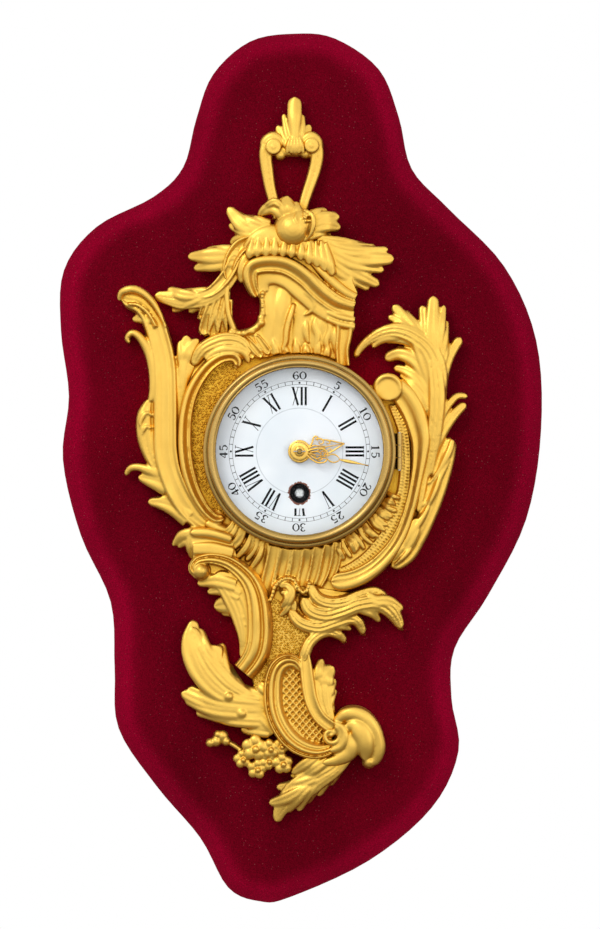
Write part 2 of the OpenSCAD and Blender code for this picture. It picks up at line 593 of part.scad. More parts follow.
module balance_wheel() color(brass) on_wall() {
    translate([balance_at.x, balance_at.y, balance_z]) linear_extrude(1.6) {
        difference() {
            circle(r = 6.4);
            circle(r = 5.2);
        }
        translate([-6, -0.7]) square([12, 1.4]);
        circle(r = 1.6);
    }
    bar(balance_at.x, balance_at.y, 1.7, escape_wheel_z, escape_wheel_z + 0.8);
    arbor(balance_at, 0.7);
}
module hairspring() color(steel) on_wall() translate([balance_at.x, balance_at.y, hairspring_z])
    linear_extrude(0.6) ribbon(5, 0.9, 5.2, 0.2, 20);

// Motion work under the dial
motion_m = 0.42;
cannon_n = 15;
minute_wheel_n = 45;
minute_pinion_n = 12;
hour_wheel_n = 48;
minute_wheel_dir = 150;
minute_wheel_at = motion_m * (cannon_n + minute_wheel_n) / 2 * [cos(minute_wheel_dir), sin(minute_wheel_dir)];
minute_wheel_turn = mesh_turn(minute_wheel_dir, 0, cannon_n, minute_wheel_n);
hour_wheel_turn = mesh_turn(minute_wheel_dir + 180, minute_wheel_turn, minute_pinion_n, hour_wheel_n);
cannon_z = front_plate_top + part_gap;
minute_wheel_z = cannon_z + 0.4;
hour_wheel_z = minute_wheel_z + wheel_t + 0.9;
module cannon_pinion() color(brass) on_wall() difference() {
    union() {
        pinion([0, 0], 0, cannon_n, motion_m, cannon_z, minute_wheel_z + wheel_t + 0.3);
        bar(0, 0, cannon_pipe_r, cannon_z, collet_z);
    }
    bar(0, 0, arbor_r + run_gap, cannon_z - 1, collet_z + 1);
}
module minute_wheel() color(brass) on_wall() difference() {
    union() {
        wheel(minute_wheel_at, minute_wheel_turn, minute_wheel_n, motion_m, minute_wheel_z, wheel_t);
        pinion(minute_wheel_at, minute_wheel_turn, minute_pinion_n, motion_m, minute_wheel_z, hour_wheel_z + wheel_t + 0.4);
    }
    bar(minute_wheel_at.x, minute_wheel_at.y, stud_r + run_gap, cannon_z - 1, dial_z);
}
module minute_wheel_stud() color(steel) on_wall() headed_stud(minute_wheel_at, hour_wheel_z + wheel_t + 0.4);
module hour_wheel() color(brass) on_wall() difference() {
    union() {
        wheel([0, 0], hour_wheel_turn, hour_wheel_n, motion_m, hour_wheel_z, wheel_t);
        bar(0, 0, hour_pipe_r, hour_wheel_z, hour_hand_z + hand_t);
    }
    bar(0, 0, cannon_pipe_r + run_gap, hour_wheel_z - 1, hour_hand_z + hand_t + 1);
}

// Gilt castings. Points are read from the dial's axis, x to the right and y up;
// heights stand above the velvet.
scroll_h = 13;
leaf_h = 8;
tip_h = 4;
left_c = [[-39, -35], [-44, -34], [-49, -29], [-53, -22], [-56, -13], [-58, -4], [-59, 6], [-58, 16], [-55, 26],
    [-51, 35], [-46, 42], [-39, 47], [-33, 47], [-30, 44], [-31, 40]];
module left_c_scroll() color(gold) cast() {
    strip(left_c, [3, 5.5, 5.5, 5.5, 4], [scroll_h * 0.8, scroll_h, scroll_h * 0.9]);
    strip([[-50, 50], [-45, 55], [-38, 56], [-31, 53], [-29, 45]], [2, 6, 8, 7, 4], [9, 12, 13, 12, 10]);
}
right_c = [[51, 30], [56, 23], [60, 13], [61, 3], [60, -7], [58, -17], [56, -27], [51, -36], [45, -45], [38, -53],
    [29, -59], [21, -63], [15, -63]];
module right_c_scroll() color(gold) cast() {
    boss([44, 32], 6.5, scroll_h);
    strip(concat([[44, 36]], right_c), [12, 13, 11, 9, 7, 7, 5, 5, 6, 8, 9, 8], [scroll_h, scroll_h, scroll_h * 0.9]);
    boss([16, -63], 5, scroll_h * 0.9);
}

// Shell apron under the dial, with a festoon of beads
apron_flutes = [[[-33, -46], [-29, -53], [-23, -63]], [[-28, -46], [-25, -56], [-20, -68]],
    [[-22, -48], [-20, -60], [-18, -73]], [[-14, -50], [-15, -61], [-13, -72]], [[-7, -51], [-9, -60], [-8, -71]],
    [[1, -51], [-2, -58], [-3, -65]], [[8, -50], [4, -59], [2, -68]], [[14, -50], [10, -59], [6, -66]]];
beads = [[-23, -65], [-21, -71], [-18, -75], [-14, -74], [-12, -69], [-10, -66], [-6, -64], [-2, -66], [0, -69],
    [4, -69], [6, -66]];
bead_r = 1.2;
module rocaille_apron() color(gold) cast() {
    for (f = apron_flutes) strip(smooth(f, 2), [7, 8, 6, 3], [13, 11, 8]);
    boss([-6, -73], 4.5, 12);
    strip(beads, [1.5, 1.5], [9, 9]);
    for (b = smooth(beads, 2)) boss(b, bead_r, 10, 6);
}

// Hood over the dial: a broken arch, a pierced field and a pilaster
hood_arch = [[-22, 76], [-25, 84], [-25, 90], [-21, 93], [-15, 95], [-7, 95], [0, 93], [7, 87], [14, 81], [21, 76],
    [28, 73]];
hood_field = [[-20, 86], [-8, 90], [4, 83], [16, 74], [22, 60], [20, 48], [4, 52], [-16, 50], [-30, 52], [-28, 60],
    [-21, 65], [-19, 71], [-21, 78]];
hood_ribs = [[[-3, 76], [-6, 66], [-6, 58], [-7, 53]], [[0, 82], [6, 76], [6, 70], [3, 66]],
    [[-19, 80], [-15, 70], [-16, 60], [-20, 53]], [[12, 74], [10, 66], [11, 58], [14, 52]]];
module hood() color(gold) cast() {
    panel(hood_field, 9);
    strip(hood_arch, [6, 8.5, 8.5, 8.5, 7], [13, 16, 16, 15, 14]);
    strip([[11, 90], [18, 84], [24, 79], [30, 77]], [3, 4, 5, 5], [12, 13, 13]);
    strip([[27, 77], [26, 69], [23, 60], [22, 52], [22, 45]], [5, 7, 9, 7, 6], [14, 13, 13, 13]);
    for (r = hood_ribs) strip(smooth(r, 2), [3, 5, 5, 3], [11, 12, 12]);
    strip([[-31, 92], [-28, 98], [-25, 104]], [6, 8, 6], [13, 14, 12]);
    strip([[-33, 87], [-36, 78], [-34, 67], [-31, 60], [-26, 57]], [4, 5, 5, 5, 6], [11, 12, 12, 12]);
}

// Leaves of the crest; each row is a midrib, its tips and the width of a lobe
crest_rows = [
    [[[-16, 107], [-25, 111], [-31, 115], [-36, 122]], [[-31, 120], [-37, 114], [-34, 110], [-35, 104]], 6],
    [[[-27, 99], [-40, 97], [-47, 96], [-56, 97]], [[-47, 101], [-53, 91]], 6],
    [[[-34, 92], [-42, 84], [-47, 78], [-55, 76], [-65, 76], [-73, 78]],
        [[-66, 82], [-59, 81], [-64, 70], [-55, 69]], 7],
    [[[-36, 88], [-40, 76], [-42, 67], [-42, 57]], [[-49, 62], [-46, 58], [-37, 58], [-34, 62]], 6],
    [[[11, 104], [25, 100], [36, 98], [47, 96]], [[34, 103], [38, 104], [44, 101], [43, 90], [39, 88]], 6],
    [[[13, 98], [25, 91], [33, 86], [40, 82]], [[41, 86], [35, 80]], 6]];
fringe = [[-24, 103], [-20, 103], [-16, 104], [-12, 104], [-8, 104], [-4, 104], [0, 104], [4, 103], [8, 102], [11, 100]];
crest_stem = [[-36, 88], [-31, 95], [-24, 102], [-16, 107], [-8, 104], [0, 104], [8, 103], [13, 100]];
module crest_leaves() color(gold) cast() {
    strip(crest_stem, [4, 6, 6, 4], [11, 12, 11]);
    for (r = crest_rows) leaf(r[0], r[1], r[2], 12, 6);
    for (p = fringe) strip([p, p + [0.2, -4], p + [0.3, -8]], [3, 4.2, 2], [14, 14, 12]);
}
module pomegranate() color(gold) cast() {
    boss([-3, 112], 9, 19);
    strip(smooth([[-6, 119], [-12, 123], [-18, 121], [-21, 116]], 2), [5, 6, 5, 2], [14, 13, 10]);
    strip([[-5, 119], [-5, 124], [-6, 128]], [5, 6, 1], [13, 12, 9]);
    leaf([[4, 115], [12, 116], [21, 115]], [[20, 118], [14, 120], [9, 121], [15, 106], [17, 110]], 5, 13, 6);
}

// Loop that a ring or ribbon would pass through, with its leaf finial
loop_h = 6;
module hanging_loop() color(gold) cast() {
    boss([-12.5, 153], 4.5, loop_h + 1);
    boss([6, 153], 4.2, loop_h + 1);
    strip([[-16, 155], [-17, 151], [-17, 146], [-16.5, 140], [-15, 133], [-12, 124], [-9, 118]], [4, 5, 5, 5, 6],
        [loop_h, loop_h, loop_h + 2]);
    strip([[10, 155], [10, 151], [9, 146], [8, 140], [6, 133], [2, 123], [0, 118]], [4, 5.5, 5.5, 5.5, 6],
        [loop_h, loop_h, loop_h + 2]);
    strip([[-12, 149], [-7, 150.5], [1, 150.5], [6, 149]], [4, 4, 4], [loop_h, loop_h]);
}
module loop_finial() color(gold) cast()
    leaf([[-2, 150], [-2.4, 158], [-1.7, 168], [-2, 177.5]], [[-8.5, 169], [-12, 163], [1.5, 169], [4.5, 164]], 5, 7, tip_h);

// Branch of horn and leaves to the left of the dial
horn = [[-91, 77], [-86, 77], [-82, 76], [-76, 72], [-71, 64], [-68, 56], [-66, 46], [-66, 36], [-67, 26], [-67, 13],
    [-66, 1], [-63, -10], [-59, -20], [-53, -29], [-47, -36]];
left_rows = [
    [[[-72, 28], [-78, 20], [-80, 10], [-74, -9]], [[-82, 14], [-79, 0]], 6],
    [[[-66, -12], [-75, -14], [-87, -11]], [[-81, -9], [-80, -17]], 5],
    [[[-57, -30], [-66, -31], [-76, -26]], [[-72, -33], [-68, -25]], 5],
    [[[-62, 26], [-58, 42], [-55, 56]], [[-60, 55], [-51, 53]], 4],
    [[[-48, -47], [-56, -47], [-64, -47]], [[-60, -43], [-55, -54]], 5]];
module left_branch() color(gold) cast() {
    strip(horn, [3, 8, 11, 11, 11, 10, 7], [5, leaf_h, leaf_h + 2, leaf_h + 2, leaf_h + 2]);
    strip([[-80, 73], [-82, 69], [-84, 66]], [8, 6, 2], [leaf_h, 6, tip_h]);
    strip(smooth([[-86, 56], [-81, 58], [-77, 57], [-74, 46], [-73, 36], [-72, 25]], 2), [2, 4, 5, 5, 5, 5],
        [5, leaf_h, leaf_h, leaf_h]);
    for (r = left_rows) leaf(r[0], r[1], r[2], leaf_h + 1, tip_h);
    strip([[-54, -40], [-44, -41], [-33, -44]], [8, 11, 9], [11, 12, 12]);
    strip([[-53, -49], [-43, -49], [-32, -50]], [7, 8, 7], [10, 11, 11]);
}
right_rows = [
    [[[70, 30], [68, 44], [67, 58], [67, 78]], [[61, 73], [72, 74], [73, 66], [74, 61]], 6],
    [[[66, 32], [60, 54], [53, 65], [46, 73]], [[53, 71], [44, 68], [60, 67]], 6],
    [[[66, 28], [60, 46], [50, 56], [38, 57], [28, 47]], [[30, 53], [36, 50], [45, 60], [43, 52]], 6],
    [[[66, 22], [60, 37], [52, 45], [42, 46]], [[48, 49]], 5],
    [[[64, 14], [59, 31], [53, 39], [47, 42]], [], 5]];
shoots = [[[64, 2], [71, 23], [72, 36], [76, 47], [81, 58]], [[61, -20], [61, -6], [65, 4], [69, 13], [74, 24], [79, 28], [84, 28]],
    [[56, -50], [64, -32], [69, -17], [74, -3], [78, 8]], [[46, -52], [53, -44], [58, -33], [62, -20]]];
module right_branch() color(gold) cast() {
    for (r = right_rows) leaf(r[0], r[1], r[2], leaf_h + 3, tip_h + 1);
    for (s = shoots) strip(smooth(s, 2), [5, 7, 7, 6, 2], [leaf_h + 1, leaf_h + 1, leaf_h, tip_h]);
}

// Console below the dial, ending in a diaper-patterned cartouche and a volute
console_band = [[-50, -55], [-48, -54], [-41, -53], [-34, -56], [-28, -62], [-24, -68], [-21, -77], [-20, -85],
    [-20, -94], [-22, -102], [-26, -108], [-29, -111]];
module lower_console() color(gold) cast() {
    boss([-50, -59], 5, 12);
    strip(console_band, [5, 8, 9, 10, 11, 12, 11], [11, 13, 14, 14, 13]);
    leaf([[-33, -60], [-42, -64], [-51, -66]], [[-46, -70], [-43, -77], [-36, -80]], 6, 9, tip_h);
    panel([[-18, -70], [-4, -76], [9, -86], [4, -104], [-5, -104], [-14, -112], [-22, -104]], 9);
}
console_rows = [
    [[[-2, -77], [10, -78], [23, -75], [34, -74], [44, -79], [52, -88]], [[43, -73], [51, -79], [40, -85]], 7],
    [[[-4, -83], [8, -85], [18, -84], [25, -84], [32, -91]], [[29, -82], [22, -90]], 6],
    [[[2, -106], [6, -97], [13, -92], [19, -91], [23, -94]], [], 5]];
module console_leaves() color(gold) cast() {
    strip([[-3, -77], [-5, -92], [3, -106]], [4, 5, 4], [10, 10, 10]);
    for (r = console_rows) leaf(r[0], r[1], r[2], leaf_h + 3, tip_h);
}
cartouche_frame = [[0, -106], [-3, -105], [-8, -105], [-12, -109], [-14, -117], [-14, -125], [-12, -134], [-7, -142],
    [0, -148], [9, -150], [16, -149], [20, -145], [18, -139]];
module cartouche() color(gold) cast() {
    panel([[-10, -107], [2, -104], [6, -122], [18, -136], [16, -148], [0, -146], [-12, -132], [-13, -114]], 8);
    strip(cartouche_frame, [4, 6, 6, 6, 6, 5], [11, 12, 12, 12, 12]);
    strip([[3, -104], [4, -114], [6, -124], [11, -133], [18, -138]], [5, 5, 5, 6], [12, 12, 12]);
    boss([15.5, -143], 3.4, 13);
    leaf([[15, -133], [13, -122], [12, -112], [12, -103]], [[19, -108], [19, -113], [18, -118], [19, -128]], 5, 11, tip_h);
}
module volute_head() color(gold) cast() {
    strip(smooth([[18, -133], [26, -130], [35, -135], [40, -147], [38, -155], [34, -159], [30, -155]], 2),
        [6, 9, 10, 9, 7, 5, 3], [13, 15, 15, 14, 12]);
    strip(smooth([[20, -138], [26, -138], [31, -143], [31, -150], [26, -152]], 2), [8, 9, 9, 8, 6], [13, 13, 12]);
}
module bottom_leaf() color(gold) cast()
    leaf([[29, -147], [16, -158], [4, -166], [-6, -174], [-12, -186]],
        [[-5, -160], [-12, -167], [-16, -176], [-6, -181], [-1, -180], [9, -173], [15, -167]], 7, 10, tip_h);
spray_rows = [
    [[[-15, -126], [-30, -122], [-39, -112], [-47, -99], [-54, -83]],
        [[-50, -88], [-46, -91], [-40, -96], [-37, -103], [-57, -102]], 6],
    [[[-14, -133], [-30, -130], [-42, -126], [-59, -119]],
        [[-54, -116], [-48, -115], [-57, -125], [-52, -131], [-45, -134], [-29, -140]], 6]];
module left_leaf_spray() color(gold) cast() {
    strip([[-15, -123], [-14, -137]], [4, 4], [leaf_h, leaf_h]);
    for (r = spray_rows) leaf(r[0], r[1], r[2], leaf_h, tip_h);
}
flowers = [[-28, -153, 4], [-21, -158, 4.2], [-8, -155, 4], [-22, -148, 6], [-15, -148, 4.5], [-9, -147, 4]];
module flower_spray() color(gold) cast() {
    strip(smooth([[-46, -146], [-40, -142], [-35, -145], [-25, -150], [-12, -148]], 2), [2, 6, 3, 3, 3], [5, 7, 6, 6, 7]);
    for (f = flowers) let (c = [f.x, f.y]) {
        strip([[-18, -149], c], [2.5, 2.5], [6, 6]);
        for (k = [0:4]) let (out = f.z * [cos(k * 72 + 18), sin(k * 72 + 18)])
            strip([c + out * 0.15, c + out * 0.6, c + out], [f.z * 0.4, f.z * 0.95, f.z * 0.5], [7, 8, 6.5]);
        boss(c, f.z * 0.32, 9.5, 10);
    }
}

wood_board();
velvet_cover();
hanger_plate();
hanger_screws();
case_screws();
case_body();
movement_screws();
case_hinge();
hinge_pin();
bezel_ring();
glass();
glass_retaining_ring();
bezel_catch();
enamel_dial();
hour_hand();
minute_hand();
hand_collet();
taper_pin();
front_plate();
back_plate();
pillars();
pillar_screws();
barrel();
barrel_cap();
barrel_arbor();
mainspring();
ratchet_wheel();
click();
click_screw();
click_spring();
centre_wheel();
third_wheel();
fourth_wheel();
escape_wheel();
pallet_lever();
balance_wheel();
hairspring();
cannon_pinion();
minute_wheel();
minute_wheel_stud();
hour_wheel();
left_c_scroll();
right_c_scroll();
rocaille_apron();
hood();
crest_leaves();
pomegranate();
hanging_loop();
loop_finial();
left_branch();
right_branch();
lower_console();
console_leaves();
cartouche();
volute_head();
bottom_leaf();
left_leaf_spray();
flower_spray();
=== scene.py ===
# %% [markdown]
# # A cartel clock of gilt bronze on a velvet board
# The real object is a wall clock: rococo castings, gilt and burnished, screwed to a shaped board that is
# covered with red velvet. The solids come with the frame; this lesson dresses them piece by piece. The
# part's frame has +Z up, the front towards -Y and the wall at Y = 0, all in metres. Sizes below are in
# millimetres on the drawing: right, up, and out of the wall, from the middle of the dial.

# %% Frame
import math
import random

import bmesh
import bpy
from mathutils import Matrix, Vector


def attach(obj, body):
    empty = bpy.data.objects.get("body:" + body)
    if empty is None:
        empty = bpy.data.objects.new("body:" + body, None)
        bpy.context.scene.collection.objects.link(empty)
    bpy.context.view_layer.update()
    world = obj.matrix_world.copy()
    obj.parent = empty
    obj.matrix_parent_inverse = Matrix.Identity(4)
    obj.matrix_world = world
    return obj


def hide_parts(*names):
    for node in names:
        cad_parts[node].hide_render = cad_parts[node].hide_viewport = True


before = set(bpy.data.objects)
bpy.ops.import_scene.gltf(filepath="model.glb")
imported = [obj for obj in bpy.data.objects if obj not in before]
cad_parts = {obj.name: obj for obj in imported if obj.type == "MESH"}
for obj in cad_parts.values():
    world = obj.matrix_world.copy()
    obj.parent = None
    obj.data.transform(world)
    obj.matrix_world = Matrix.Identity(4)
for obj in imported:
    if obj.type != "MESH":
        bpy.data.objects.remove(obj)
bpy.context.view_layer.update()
MM = 0.001


def stand(x, y, depth):
    """Drawing millimetres (right, up, out of the wall) as a point of the part."""
    return Vector((x * MM, -depth * MM, y * MM))


# %% [markdown]
# The camera stands straight in front, far off, as for a catalogue picture. A long lens could be set by
# eye; here the lens follows from the height that the picture shows, so that the drawing's millimetres
# and the picture agree.

# %% Camera
VIEW_HEIGHT = 464.5 * MM
VIEW_MIDDLE = (0.25, -6.5, 20)
CAMERA_DISTANCE = 3.0
SENSOR = 36.0
scene = bpy.context.scene
scene.view_settings.view_transform = "Standard"
lens = bpy.data.cameras.new("camera")
lens.sensor_fit = "VERTICAL"
lens.sensor_height = SENSOR
lens.lens = SENSOR * CAMERA_DISTANCE / VIEW_HEIGHT
camera = bpy.data.objects.new("camera", lens)
camera.location = stand(*VIEW_MIDDLE) + Vector((0, -CAMERA_DISTANCE, 0))
camera.rotation_euler = (math.radians(90), 0, 0)
scene.collection.objects.link(camera)
scene.camera = camera
print("camera lens", round(lens.lens, 1), "mm")

# %% [markdown]
# Three soft lamps light the clock: a key lamp from the upper left, a weak fill from the right and one
# from the front. Small lamps would give hard glints on the gilding, so these are broad areas.

# %% Lamps
def lamp(name, place, aim, size, watts, colour):
    """Area lamp of two side lengths, turned to a point."""
    light = bpy.data.lights.new(name, "AREA")
    light.shape = "RECTANGLE"
    light.size, light.size_y = size
    light.energy = watts
    light.color = colour
    made = bpy.data.objects.new(name, light)
    made.location = place
    made.rotation_euler = (Vector(aim) - Vector(place)).to_track_quat("-Z", "Y").to_euler()
    scene.collection.objects.link(made)


lamp("key_lamp", (-0.75, -1.25, 0.95), (0, 0, 0), (0.7, 0.7), 6.5, (1, 0.985, 0.96))
lamp("fill_lamp", (1.1, -1.2, 0.1), (0, 0, 0), (0.8, 1.2), 2.4, (1, 1, 1))
lamp("front_lamp", (0.1, -2.2, 0.5), (0, 0, -0.05), (0.9, 0.9), 2.2, (1, 1, 1))
print("lamps", len(bpy.data.lights))

# %% [markdown]
# The picture has a clean white ground. A white wall would take shadows, so the world itself is white
# for the camera, in reflections and through the glass, and a dim, slightly cool light for everything
# else. The helpers below add shader nodes, here and later for the finishes.

# %% World
def add(tree, kind, settings=None, **inputs):
    """New shader node; an input is a number or colour, or a socket to link."""
    made = tree.nodes.new("ShaderNode" + kind)
    for key, value in (settings or {}).items():
        setattr(made, key, value)
    for key, value in inputs.items():
        socket = made.inputs[int(key[1:]) if key[0] == "i" and key[1:].isdigit() else key.replace("_", " ")]
        if isinstance(value, bpy.types.NodeSocket):
            tree.links.new(value, socket)
        else:
            socket.default_value = value
    return made


def maths(tree, operation, first, second):
    """Result of an operation on two numbers or sockets."""
    return add(tree, "Math", {"operation": operation}, i0=first, i1=second).outputs[0]


def new_finish(name, **constants):
    """Material with its principled shader's plain values set, and the shader."""
    made = bpy.data.materials.new(name)
    made.use_nodes = True
    shader = made.node_tree.nodes["Principled BSDF"]
    for key, value in constants.items():
        shader.inputs[key.replace("_", " ")].default_value = value
    return made, made.node_tree, shader


world = bpy.data.worlds.new("studio")
world.use_nodes = True
scene.world = world
sky = world.node_tree
sky.nodes.clear()
ray = add(sky, "LightPath")
seen = maths(sky, "MAXIMUM", ray.outputs["Is Camera Ray"], ray.outputs["Is Glossy Ray"])
seen = maths(sky, "MAXIMUM", seen, ray.outputs["Is Transmission Ray"])
room_light = add(sky, "Background", None, Color=(0.9, 0.93, 1, 1), Strength=0.28)
white_ground = add(sky, "Background", None, Color=(1, 1, 1, 1), Strength=1.0)
backdrop = add(sky, "MixShader", None, i0=seen, i1=room_light.outputs[0], i2=white_ground.outputs[0])
sky.links.new(backdrop.outputs[0], add(sky, "OutputWorld").inputs["Surface"])
print("world nodes", len(sky.nodes))

# %% [markdown]
# The clock hangs, so the pale floor lies below it. It only stages the picture and is no piece of the
# clock.

# %% Floor
FLOOR_HALF = (1.4, 0.6, 1)
FLOOR_DROP = 0.30
floor_mesh = bmesh.new()
bmesh.ops.create_grid(floor_mesh, x_segments=1, y_segments=1, size=1)
bmesh.ops.scale(floor_mesh, verts=floor_mesh.verts[:], vec=FLOOR_HALF)
bmesh.ops.translate(floor_mesh, verts=floor_mesh.verts[:], vec=(0, 0, -FLOOR_DROP))
floor_data = bpy.data.meshes.new("floor")
floor_mesh.to_mesh(floor_data)
floor_mesh.free()
floor = bpy.data.objects.new("floor", floor_data)
scene.collection.objects.link(floor)
floor_data.materials.append(new_finish("floor_paint", Base_Color=(0.85, 0.85, 0.85, 1), Roughness=0.9)[0])
print("floor", FLOOR_DROP, "m below the dial")

# %% [markdown]
# All finishes share a few blocks: noise of a chosen size, a colour ramp, a blend of two colours and a
# fine bump. Writing the nodes out for each finish would hide what differs between them.

# %% Building blocks of the finishes
def noise(tree, scale, detail=3.0, rough=0.5, stretch=(1, 1, 1)):
    """Noise on the piece's own coordinates, in features of about 1 / scale metres."""
    place = add(tree, "Mapping", None, Vector=add(tree, "TexCoord").outputs["Object"], Scale=stretch)
    return add(tree, "TexNoise", None, Vector=place.outputs[0], Scale=scale, Detail=detail,
               Roughness=rough).outputs["Fac"]


def ramp(tree, value, stops):
    """Colour ramp with (place, colour) stops."""
    made = add(tree, "ValToRGB", None, Fac=value)
    while len(made.color_ramp.elements) < len(stops):
        made.color_ramp.elements.new(0.5)
    for element, (place, colour) in zip(made.color_ramp.elements, stops):
        element.position = place
        element.color = (*colour, 1)
    return made.outputs["Color"]


def spread_to(tree, value, low, high):
    """Share from 0 to 1 moved to the range from low to high."""
    return add(tree, "MapRange", None, Value=value, From_Min=0.3, From_Max=0.7, To_Min=low,
               To_Max=high).outputs["Result"]


def tint(tree, shader, value, stops):
    """Base colour from a ramp over a value."""
    tree.links.new(ramp(tree, value, stops), shader.inputs["Base Color"])


def relief(tree, shader, strength, distance, height):
    """Fine bump in the surface, at most a distance deep, in metres."""
    made = add(tree, "Bump", None, Strength=strength, Distance=distance, Height=height)
    tree.links.new(made.outputs["Normal"], shader.inputs["Normal"])


def blend_colours(tree, mode, share, first, second):
    """Two colours, plain or from a socket, blended by a share."""
    made = add(tree, "Mix", {"data_type": "RGBA", "blend_type": mode}, i0=share)
    for socket, value in ((made.inputs[6], first), (made.inputs[7], second)):
        if isinstance(value, bpy.types.NodeSocket):
            tree.links.new(value, socket)
        else:
            socket.default_value = (*value, 1)
    return made.outputs[2]


print("finishes so far", len(bpy.data.materials))

# %% [markdown]
# Gilt bronze is burnished on the high places and left matt in the hollows. One even gold would look like
# plastic. The colour here follows how open a place is (Blender's ambient occlusion node): browner in the
# hollows, partly the matt gilding's own tone and partly painted shade, and brighter on open places, partly
# burnish and partly painted light. Faces turned away from the upper left, where the key lamp stands, get a
# browner painted shade as well. A slow drift of hue and a fine grain in roughness and bump come on top. The
# bezel is bare brass, older and darker.

# %% Metals
def metal(name, hollow, face, bright, roughness, reach, grain=(900, 0.12), stretch=(1, 1, 1), metallic=1.0):
    """Metal, browner in hollows (own tone and painted shade), with painted shade on faces turned from the
    light; a hollow is felt as far as reach, in millimetres.
    """
    made, tree, shader = new_finish(name, Metallic=metallic)
    openness = add(tree, "AmbientOcclusion", {"samples": 8, "only_local": False}, Distance=reach * MM)
    # Hollows are painted browner, partly the matt gilding's own tone and partly painted shade; open places
    # are painted brighter, partly burnish and partly painted light.
    tone = ramp(tree, openness.outputs["AO"], [(0.2, hollow), (0.6, face), (0.95, bright)])
    drift = ramp(tree, noise(tree, 70), [(0.3, (0.92, 0.89, 0.84)), (0.7, (1.0, 1.0, 1.0))])
    tone = blend_colours(tree, "MULTIPLY", 1.0, tone, drift)
    # Painted shade: faces turned away from the upper left, where the key lamp stands, are tinted browner.
    turn = add(tree, "VectorMath", {"operation": "DOT_PRODUCT"}, i0=add(tree, "TexCoord").outputs["Normal"],
               i1=(-0.35, -0.30, 0.89))
    facing_light_share = add(tree, "MapRange", None, Value=turn.outputs["Value"], From_Min=-0.8, From_Max=0.3,
                To_Min=0.0, To_Max=1.0).outputs["Result"]
    painted_underside_shade = ramp(tree, facing_light_share, [(0.0, (0.60, 0.48, 0.30)), (1.0, (1.0, 1.0, 1.0))])
    tree.links.new(blend_colours(tree, "MULTIPLY", 1.0, tone, painted_underside_shade), shader.inputs["Base Color"])
    wear = noise(tree, 160, 4, 0.6, stretch)
    tree.links.new(spread_to(tree, wear, *roughness), shader.inputs["Roughness"])
    relief(tree, shader, grain[1], 0.0004, noise(tree, grain[0], 4, 0.6, stretch))
    return made


GILT_HOLLOW = (0.34, 0.135, 0.004)
GILT_FACE = (0.80, 0.45, 0.045)
GILT_BRIGHT = (0.92, 0.58, 0.11)
gilt = metal("gilt_bronze", GILT_HOLLOW, GILT_FACE, GILT_BRIGHT, (0.3, 0.44), 4, metallic=0.85)
matt_gilt = metal("gilt_bronze_matted", GILT_HOLLOW, (0.78, 0.43, 0.024), (0.90, 0.54, 0.05), (0.4, 0.55),
                  4, (1300, 0.6), metallic=0.8)
bezel_brass = metal("bezel_brass", (0.03, 0.017, 0.002), (0.22, 0.13, 0.025), (0.55, 0.36, 0.11),
                    (0.2, 0.34), 5)
hand_gilt = metal("gilt_hands", (0.3, 0.1, 0.005), (0.82, 0.46, 0.06), (0.95, 0.62, 0.15), (0.2, 0.34), 2)
movement_brass = metal("movement_brass", (0.25, 0.14, 0.03), (0.60, 0.42, 0.13), (0.74, 0.54, 0.20),
                       (0.22, 0.36), 4, (700, 0.15), (1, 1, 9))
steel = metal("polished_steel", (0.10, 0.10, 0.11), (0.42, 0.43, 0.45), (0.60, 0.61, 0.63), (0.2, 0.34), 3,
              (800, 0.12), (1, 6, 1))
dark_steel = metal("dark_steel", (0.008, 0.007, 0.007), (0.035, 0.03, 0.028), (0.09, 0.08, 0.075),
                   (0.3, 0.45), 2)
print("metals",
      [m.name for m in (gilt, matt_gilt, bezel_brass, hand_gilt, movement_brass, steel, dark_steel)])

# %% [markdown]
# The velvet is dark red in its flat middle; on the sloping border its colour is painted a lighter red, a
# painted sheen where the pile leans over. A single red would be flat. The border's share comes from the
# depth below the flat middle, the pile is a very fine bump, brushing leaves slow streaks, and a few specks
# of pale lint sit on it. Sheen gives the soft glow along edges.

# %% Velvet
velvet_finish, tree, shader = new_finish("red_velvet", Roughness=0.95, Sheen_Weight=0.12,
                                         Sheen_Roughness=0.45, Sheen_Tint=(1.0, 0.12, 0.2, 1),
                                         Specular_IOR_Level=0.05)
LINT_SHARE = 0.38
LINT_TONE = (0.55, 0.16, 0.16)
place = add(tree, "SeparateXYZ", None, Vector=add(tree, "TexCoord").outputs["Object"])
depth = add(tree, "MapRange", {"interpolation_type": "SMOOTHSTEP"}, Value=place.outputs["Y"],
            From_Min=-0.0192, From_Max=-0.0150, To_Min=0.0, To_Max=1.0).outputs["Result"]
brushing = noise(tree, 22, 3, 0.55, (1, 1, 0.6))
middle = ramp(tree, brushing, [(0.3, (0.20, 0.0002, 0.010)), (0.7, (0.29, 0.0006, 0.016))])
# Painted sheen: the sloping border is painted a lighter red than the flat middle.
border = ramp(tree, brushing, [(0.3, (0.40, 0.0004, 0.026)), (0.7, (0.58, 0.0008, 0.040))])
pile_red = blend_colours(tree, "MIX", depth, middle, border)
pile = noise(tree, 1700, 2, 0.6)
pile_tone = ramp(tree, pile, [(0.3, (0.45, 0.4, 0.4)), (0.7, (1.4, 1.4, 1.4))])
pile_red = blend_colours(tree, "MULTIPLY", 0.8, pile_red, pile_tone)
speck = add(tree, "TexVoronoi", None, Vector=add(tree, "TexCoord").outputs["Object"], Scale=480.0)
lint_size = maths(tree, "MULTIPLY", noise(tree, 60, 2), 0.2)
lint = maths(tree, "LESS_THAN", speck.outputs["Distance"], lint_size)
few = maths(tree, "GREATER_THAN", speck.outputs["Color"], 0.5)
lint = maths(tree, "MULTIPLY", maths(tree, "MULTIPLY", lint, few), LINT_SHARE)
